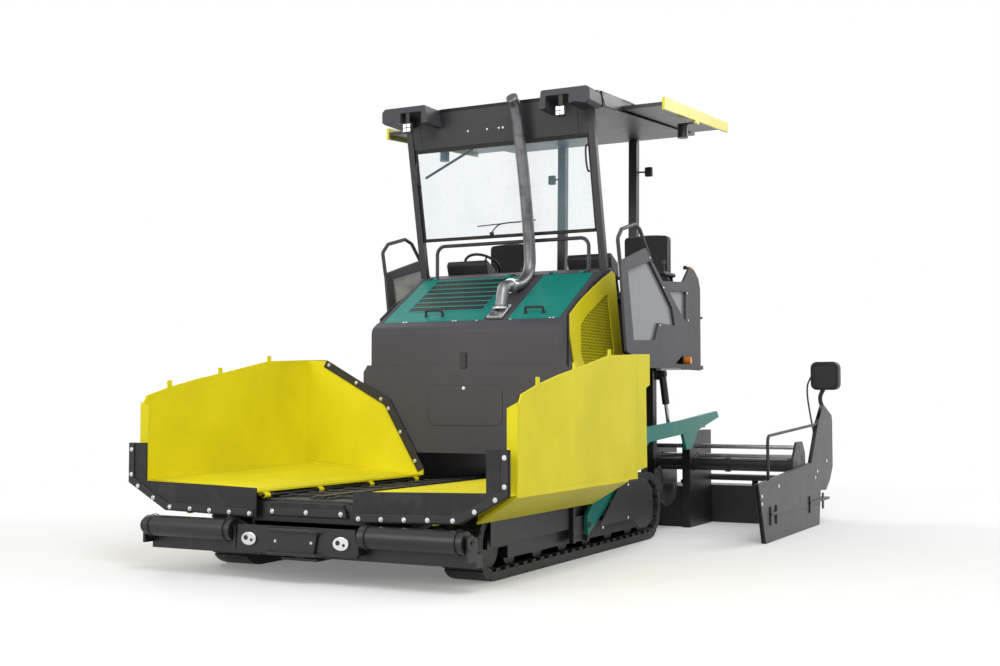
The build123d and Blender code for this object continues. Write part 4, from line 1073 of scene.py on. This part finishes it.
# Operator's place: two dashboards on columns, steering wheel, armrests and controls
def make_controls():
    desk_top = ((-0.62, 2.40), (-0.60, 2.52), (-0.43, 2.60), (-0.40, 2.56), (-0.46, 2.38))
    column = ((-0.56, 1.600), (-0.54, 2.42), (-0.46, 2.42), (-0.46, 1.600))
    for side, way in halves:
        slab(f"desk_{side}", "console_plastic", "chassis", (desk_top, "y", way * 0.42, way * 0.44, 0.014),
             (column, "y", way * 0.56, way * 0.14, 0.010))
        face = Shape()
        outline = rounded((-0.585, 0.46), (-0.455, 0.82), 0.02)
        face.plate([(x, way * y) for x, y in outline], "z", 0, 0.004, 0.001)
        verts = face.bm.verts
        bmesh.ops.rotate(face.bm, verts=verts, cent=(-0.52, 0, 0), matrix=Matrix.Rotation(-0.44, 3, "Y"))
        bmesh.ops.translate(face.bm, verts=verts, vec=(0, 0, 2.566))
        face.keep(f"desk_face_{side}", "paint_black", "chassis")
        arms = Shape()
        for edge in (-0.29, 0.29):
            y = way * seat_y + edge
            arms.box((-1.56, y - 0.030, 2.455), (-1.24, y + 0.030, 2.495), 0.014)
            arms.rod((-1.50, y, 2.465), (-1.60, y * 0.985, 2.25), 0.016)
            arms.rod((-1.30, y, 2.490), (-1.29, y, 2.570), 0.010, sides=12)
            arms.rod((-1.29, y, 2.565), (-1.287, y, 2.605), 0.020, tip=0.015, sides=16)
        arms.keep(f"armrests_{side}", "console_plastic", "chassis")
    wheel = Shape()
    centre, tilt = Vector((-0.70, -0.62, 2.575)), Vector((-0.55, 0, 0.83)).normalized()
    rim, grip = 0.175, 0.014
    wheel.turned([(rim + grip * cos(turn), grip * sin(turn)) for turn in circle(10)], centre, tilt, 36)
    wheel.rod(centre - tilt * 0.16, centre + tilt * 0.012, 0.026)
    for turn in range(3):
        spoke = tilt.orthogonal().normalized()
        spoke.rotate(Matrix.Rotation(turn * tau / 3, 3, tilt))
        wheel.rod(centre, centre + spoke * 0.172, 0.009, sides=10)
    wheel.rod(centre - tilt * 0.15, (-0.585, -0.62, 2.405), 0.020)
    wheel.keep("steering_wheel", "console_plastic", "chassis")


# Screed: end plates with their raised rear corner, bolts, latches and the fold above the skid
def trim_screed():
    plate_line = eased(((-0.649, 0.002), (-0.435, 0.528), (-2.318, 0.629), (-2.618, 1.021), (-2.860, 1.209),
                        (-3.215, 1.096), (-3.241, 1.036), (-3.241, 0.560), (-3.115, 0.427), (-2.929, 0.328),
                        (-2.696, 0.342), (-2.620, 0.002)), {3: 0.060, 4: 0.060, 5: 0.030, 8: 0.040})
    spots = ((-0.536, 0.419), (-0.533, 0.353), (-1.087, 0.477), (-2.462, 0.479), (-2.953, 0.626),
             (-2.553, 0.537))
    face = 2.206
    for side, way in halves:
        body = f"extension_{side}"
        slab(f"end_plate_{side}", "paint_dark", body, (plate_line, "y", way * 2.1995, way * 0.0065),
             (plate_line, "y", way * 2.166, way * 0.004, 0), material=charcoal_finish)
        bolts(f"end_plate_bolts_{side}", body, [(x, way * face, z) for x, z in spots], (0, way, 0), 0.012)
        latches = Shape()
        for rear, front in ((-2.782, -2.194), (-1.026, -0.777)):
            latches.box((rear, way * face, 0.235), (front, way * 2.226, 0.262), 0.006)
            for x in (rear + 0.03, front - 0.03):
                latches.box((x - 0.028, way * 2.205, 0.15), (x + 0.028, way * 2.219, 0.315), 0.006)
        latches.keep(f"end_latches_{side}", "paint_black", body)
        fold = Shape()
        fold.rod((-1.077, way * face, 0.220), (-2.595, way * face, 0.205), 0.004, sides=8)
        fold.keep(f"end_fold_{side}", "paint_dark", body)


# End consoles: the rail, a bent arm and a rounded box with its panel
def make_end_consoles():
    rail = ((-0.815, 0.548), (-0.815, 0.800), (-0.815, 0.934), (-0.950, 0.940), (-1.900, 0.979),
            (-2.500, 1.004), (-2.628, 1.009))
    arm = ((-3.055, 2.184, 1.020), (-3.075, 2.184, 1.120), (-3.082, 2.120, 1.220), (-3.082, 2.120, 1.320),
           (-3.080, 2.180, 1.400))
    for side, way in halves:
        body = f"extension_{side}"
        low, high = sorted((way * 2.034, way * 2.326))
        console = Shape()
        console.pipe([(x, way * 2.184, z) for x, z in rail], 0.014)
        console.pipe([(x, way * y, z) for x, y, z in arm], 0.022)
        console.plate(rounded((low, 1.358), (high, 1.653), 0.065), "x", -3.140, 0.120, 0.012)
        console.box((-3.070, way * 2.050, 0.790), (-3.030, way * 2.168, 0.820), 0.004)
        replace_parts(console.keep(f"end_console_body_{side}", "console_plastic", body), f"end_console_{side}")
        rim = Shape()
        rim.framed(rounded((low + 0.012, 1.370), (high - 0.012, 1.641), 0.055),
                   rounded((low + 0.034, 1.392), (high - 0.034, 1.619), 0.040), "x", -3.021, 0.007)
        rim.keep(f"end_console_rim_{side}", "rubber", body)
        relief = Shape()
        out = Vector((0.001, way * -0.028, -0.042)).normalized()
        start, foot = Vector((-3.080, way * 2.022, 1.482)), Vector((-3.050, way * 2.062, 0.840))
        relief.rod(start - out * 0.040, start + out * 0.002, 0.0145, tip=0.0105)
        relief.rod(foot - Vector((0, 0, 0.030)), foot + Vector((0, 0, 0.002)), 0.0165, tip=0.0125)
        relief.keep(f"cable_relief_{side}", "rubber", body)


# Guide tubes of the extensions: a thick tube with a bright rod and a thin one above it
def make_guide_tubes():
    rows = {"left": ((-1.850, 0.622, 0.060), (-2.080, 0.690, 0.030), (-1.960, 0.795, 0.022)),
            "right": ((-1.982, 0.622, 0.060), (-2.160, 0.690, 0.030), (-2.060, 0.795, 0.022))}
    lug = eased(((-1.760, 0.500), (-1.770, 0.690), (-1.900, 0.850), (-2.120, 0.850), (-2.220, 0.740),
                 (-2.240, 0.500)), {1: 0.040, 2: 0.060, 3: 0.060, 4: 0.030})
    inner_y, outer_y = 0.44, 2.168
    for side, way in halves:
        body = f"extension_{side}"
        tube = Shape()
        x, z, radius = rows[side][0]
        tube.rod((x, way * inner_y, z), (x, way * outer_y, z), radius, sides=36)
        for collar_y in (1.50, 2.12):
            tube.ring((x, way * collar_y, z), (0, 1, 0), radius + 0.012, radius - 0.002, 0.040, 36)
        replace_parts(tube.keep(f"guide_tube_{side}", "paint_black", body), f"guide_tubes_{side}")
        bars = Shape()
        for x, z, radius in rows[side][1:]:
            bars.rod((x, way * inner_y, z), (x, way * outer_y, z), radius, sides=28)
        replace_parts(bars.keep(f"guide_bars_{side}", "bare_steel", body), f"guide_tubes_{side}")
        slab(f"tube_lug_{side}", "paint_dark", body, (lug, "y", way * 2.144, way * 0.024, 0.003),
             material=charcoal_finish)
        beam = Shape()
        beam.box((-2.560, way * 0.960, 0.430), (-2.430, way * outer_y, 0.490), 0.016)
        for stay in (0.970, 1.540):
            beam.box((-2.560, way * stay, 0.378), (-2.530, way * (stay + 0.060), 0.436))
        beam.keep(f"extension_bar_{side}", "paint_dark", body, charcoal_finish)


# Augers: screw flights swept round each shaft
def make_augers():
    steps, turns, pitch = 24, 6, 0.158
    shaft_x, shaft_z = -1.330, 0.430
    blade = ((0.037, -0.006), (0.190, -0.003), (0.190, 0.003), (0.037, 0.006))
    for side, way in halves:
        screw = Shape()
        face = screw.bm.faces.new([screw.bm.verts.new((radius, 0, height)) for radius, height in blade])
        bmesh.ops.spin(screw.bm, geom=[face], cent=(0, 0, 0), axis=(0, 0, 1), angle=tau * turns * way,
                       dvec=(0, 0, pitch / steps), steps=steps * turns)
        open_edges = [edge for edge in screw.bm.edges if edge.is_boundary]
        bmesh.ops.holes_fill(screw.bm, edges=open_edges, sides=4)
        turn = Vector((0, way, 0)).to_track_quat("Z", "Y").to_matrix().to_4x4()
        place = Matrix.Translation((shaft_x, way * 0.150, shaft_z))
        bmesh.ops.transform(screw.bm, verts=screw.bm.verts, matrix=place @ turn)
        screw.rod((shaft_x, way * 0.010, shaft_z), (shaft_x, way * 1.130, shaft_z), 0.038, sides=28)
        piece = screw.keep(f"auger_screw_{side}", "bare_steel", f"auger_{side}", finishes["track_steel"])
        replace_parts(piece, f"auger_{side}")


make_end_consoles()
make_guide_tubes()
make_augers()
trim_hopper()
trim_centre_flap()
trim_push_beam()
trim_tracks()
trim_hood()
trim_lids()
trim_grilles()
line_hopper()
fold_nose()
make_roof()
make_exhaust()
trim_screen()
make_controls()
trim_screed()


# Floor, light and background
def lay_floor():
    reach = 40
    near, far = 5.5, 9.5
    bm = bmesh.new()
    bmesh.ops.create_grid(bm, x_segments=2, y_segments=2, size=reach)
    finish = Finish("pale_floor")
    path = finish.node("ShaderNodeLightPath", {}, {}, "Is Camera Ray").socket.node
    camera, glossy, through = (Level(finish, path.outputs[kind]) for kind in
                               ("Is Camera Ray", "Is Glossy Ray", "Is Transmission Ray"))
    ray = (camera + glossy + through).low(1)
    distance = finish.node("ShaderNodeVectorMath", {"operation": "LENGTH"}, {0: finish.place}, "Value")
    pale = finish.mix(finish.noise(3, 3), (0.86, 0.86, 0.86), (0.88, 0.88, 0.88))
    finish.use(base_color=finish.mix(ray, (0.36, 0.36, 0.36), pale), roughness=0.9)
    glow = finish.node("ShaderNodeEmission", {}, {"Color": (1.0, 1.0, 1.0), "Strength": 1.0})
    share = ray * (distance.rise(near, far) * 0.82 + 0.18)
    surface = Level(finish, finish.shader.outputs[0])
    blend = finish.node("ShaderNodeMixShader", {}, {0: share, 1: surface, 2: glow})
    finish.tree.links.new(blend.socket, finish.out.inputs["Surface"])
    floor = bpy.data.objects.new("floor", mesh_of("floor", bm, finish.material))
    scene.collection.objects.link(floor)


def light_scene():
    world = bpy.data.worlds.new("studio")
    scene.world = world
    world.use_nodes = True
    tree = world.node_tree
    tree.nodes.clear()
    out, mixer, path, soft, white = (tree.nodes.new(f"ShaderNode{kind}") for kind in (
        "OutputWorld", "MixShader", "LightPath", "Background", "Background",
    ))
    for light, strength in ((soft, 0.62), (white, 1.0)):
        light.inputs["Color"].default_value = (1, 1, 1, 1)
        light.inputs["Strength"].default_value = strength
    share = path.outputs["Is Camera Ray"]
    for kind in ("Is Glossy Ray", "Is Transmission Ray"):
        added = tree.nodes.new("ShaderNodeMath")
        added.operation = "ADD"
        added.use_clamp = True
        tree.links.new(share, added.inputs[0])
        tree.links.new(path.outputs[kind], added.inputs[1])
        share = added.outputs[0]
    for index, source in enumerate((share, soft.outputs[0], white.outputs[0])):
        tree.links.new(source, mixer.inputs[index])
    tree.links.new(mixer.outputs[0], out.inputs["Surface"])
    width = 5
    lamps = (  # name, place, target, power
        ("key", (7, 5.5, 8.5), (0.5, 0, 1.4), 520),
        ("front", (11, -4, 4.5), (1, 0, 1.2), 260),
        ("rear", (-8, 6, 7), (-1, 0, 1.5), 330),
        ("far", (-3, -9, 6), (0, 0, 1.5), 260),
    )
    for name, place, target, power in lamps:
        data = bpy.data.lights.new(name, "AREA")
        data.shape = "DISK"
        data.size = width
        data.energy = power
        lamp = bpy.data.objects.new(name, data)
        aim = (Vector(target) - Vector(place)).to_track_quat("-Z", "Y")
        lamp.matrix_world = Matrix.Translation(place) @ aim.to_matrix().to_4x4()
        scene.collection.objects.link(lamp)


lay_floor()
light_scene()
scene.view_settings.view_transform = "Standard"
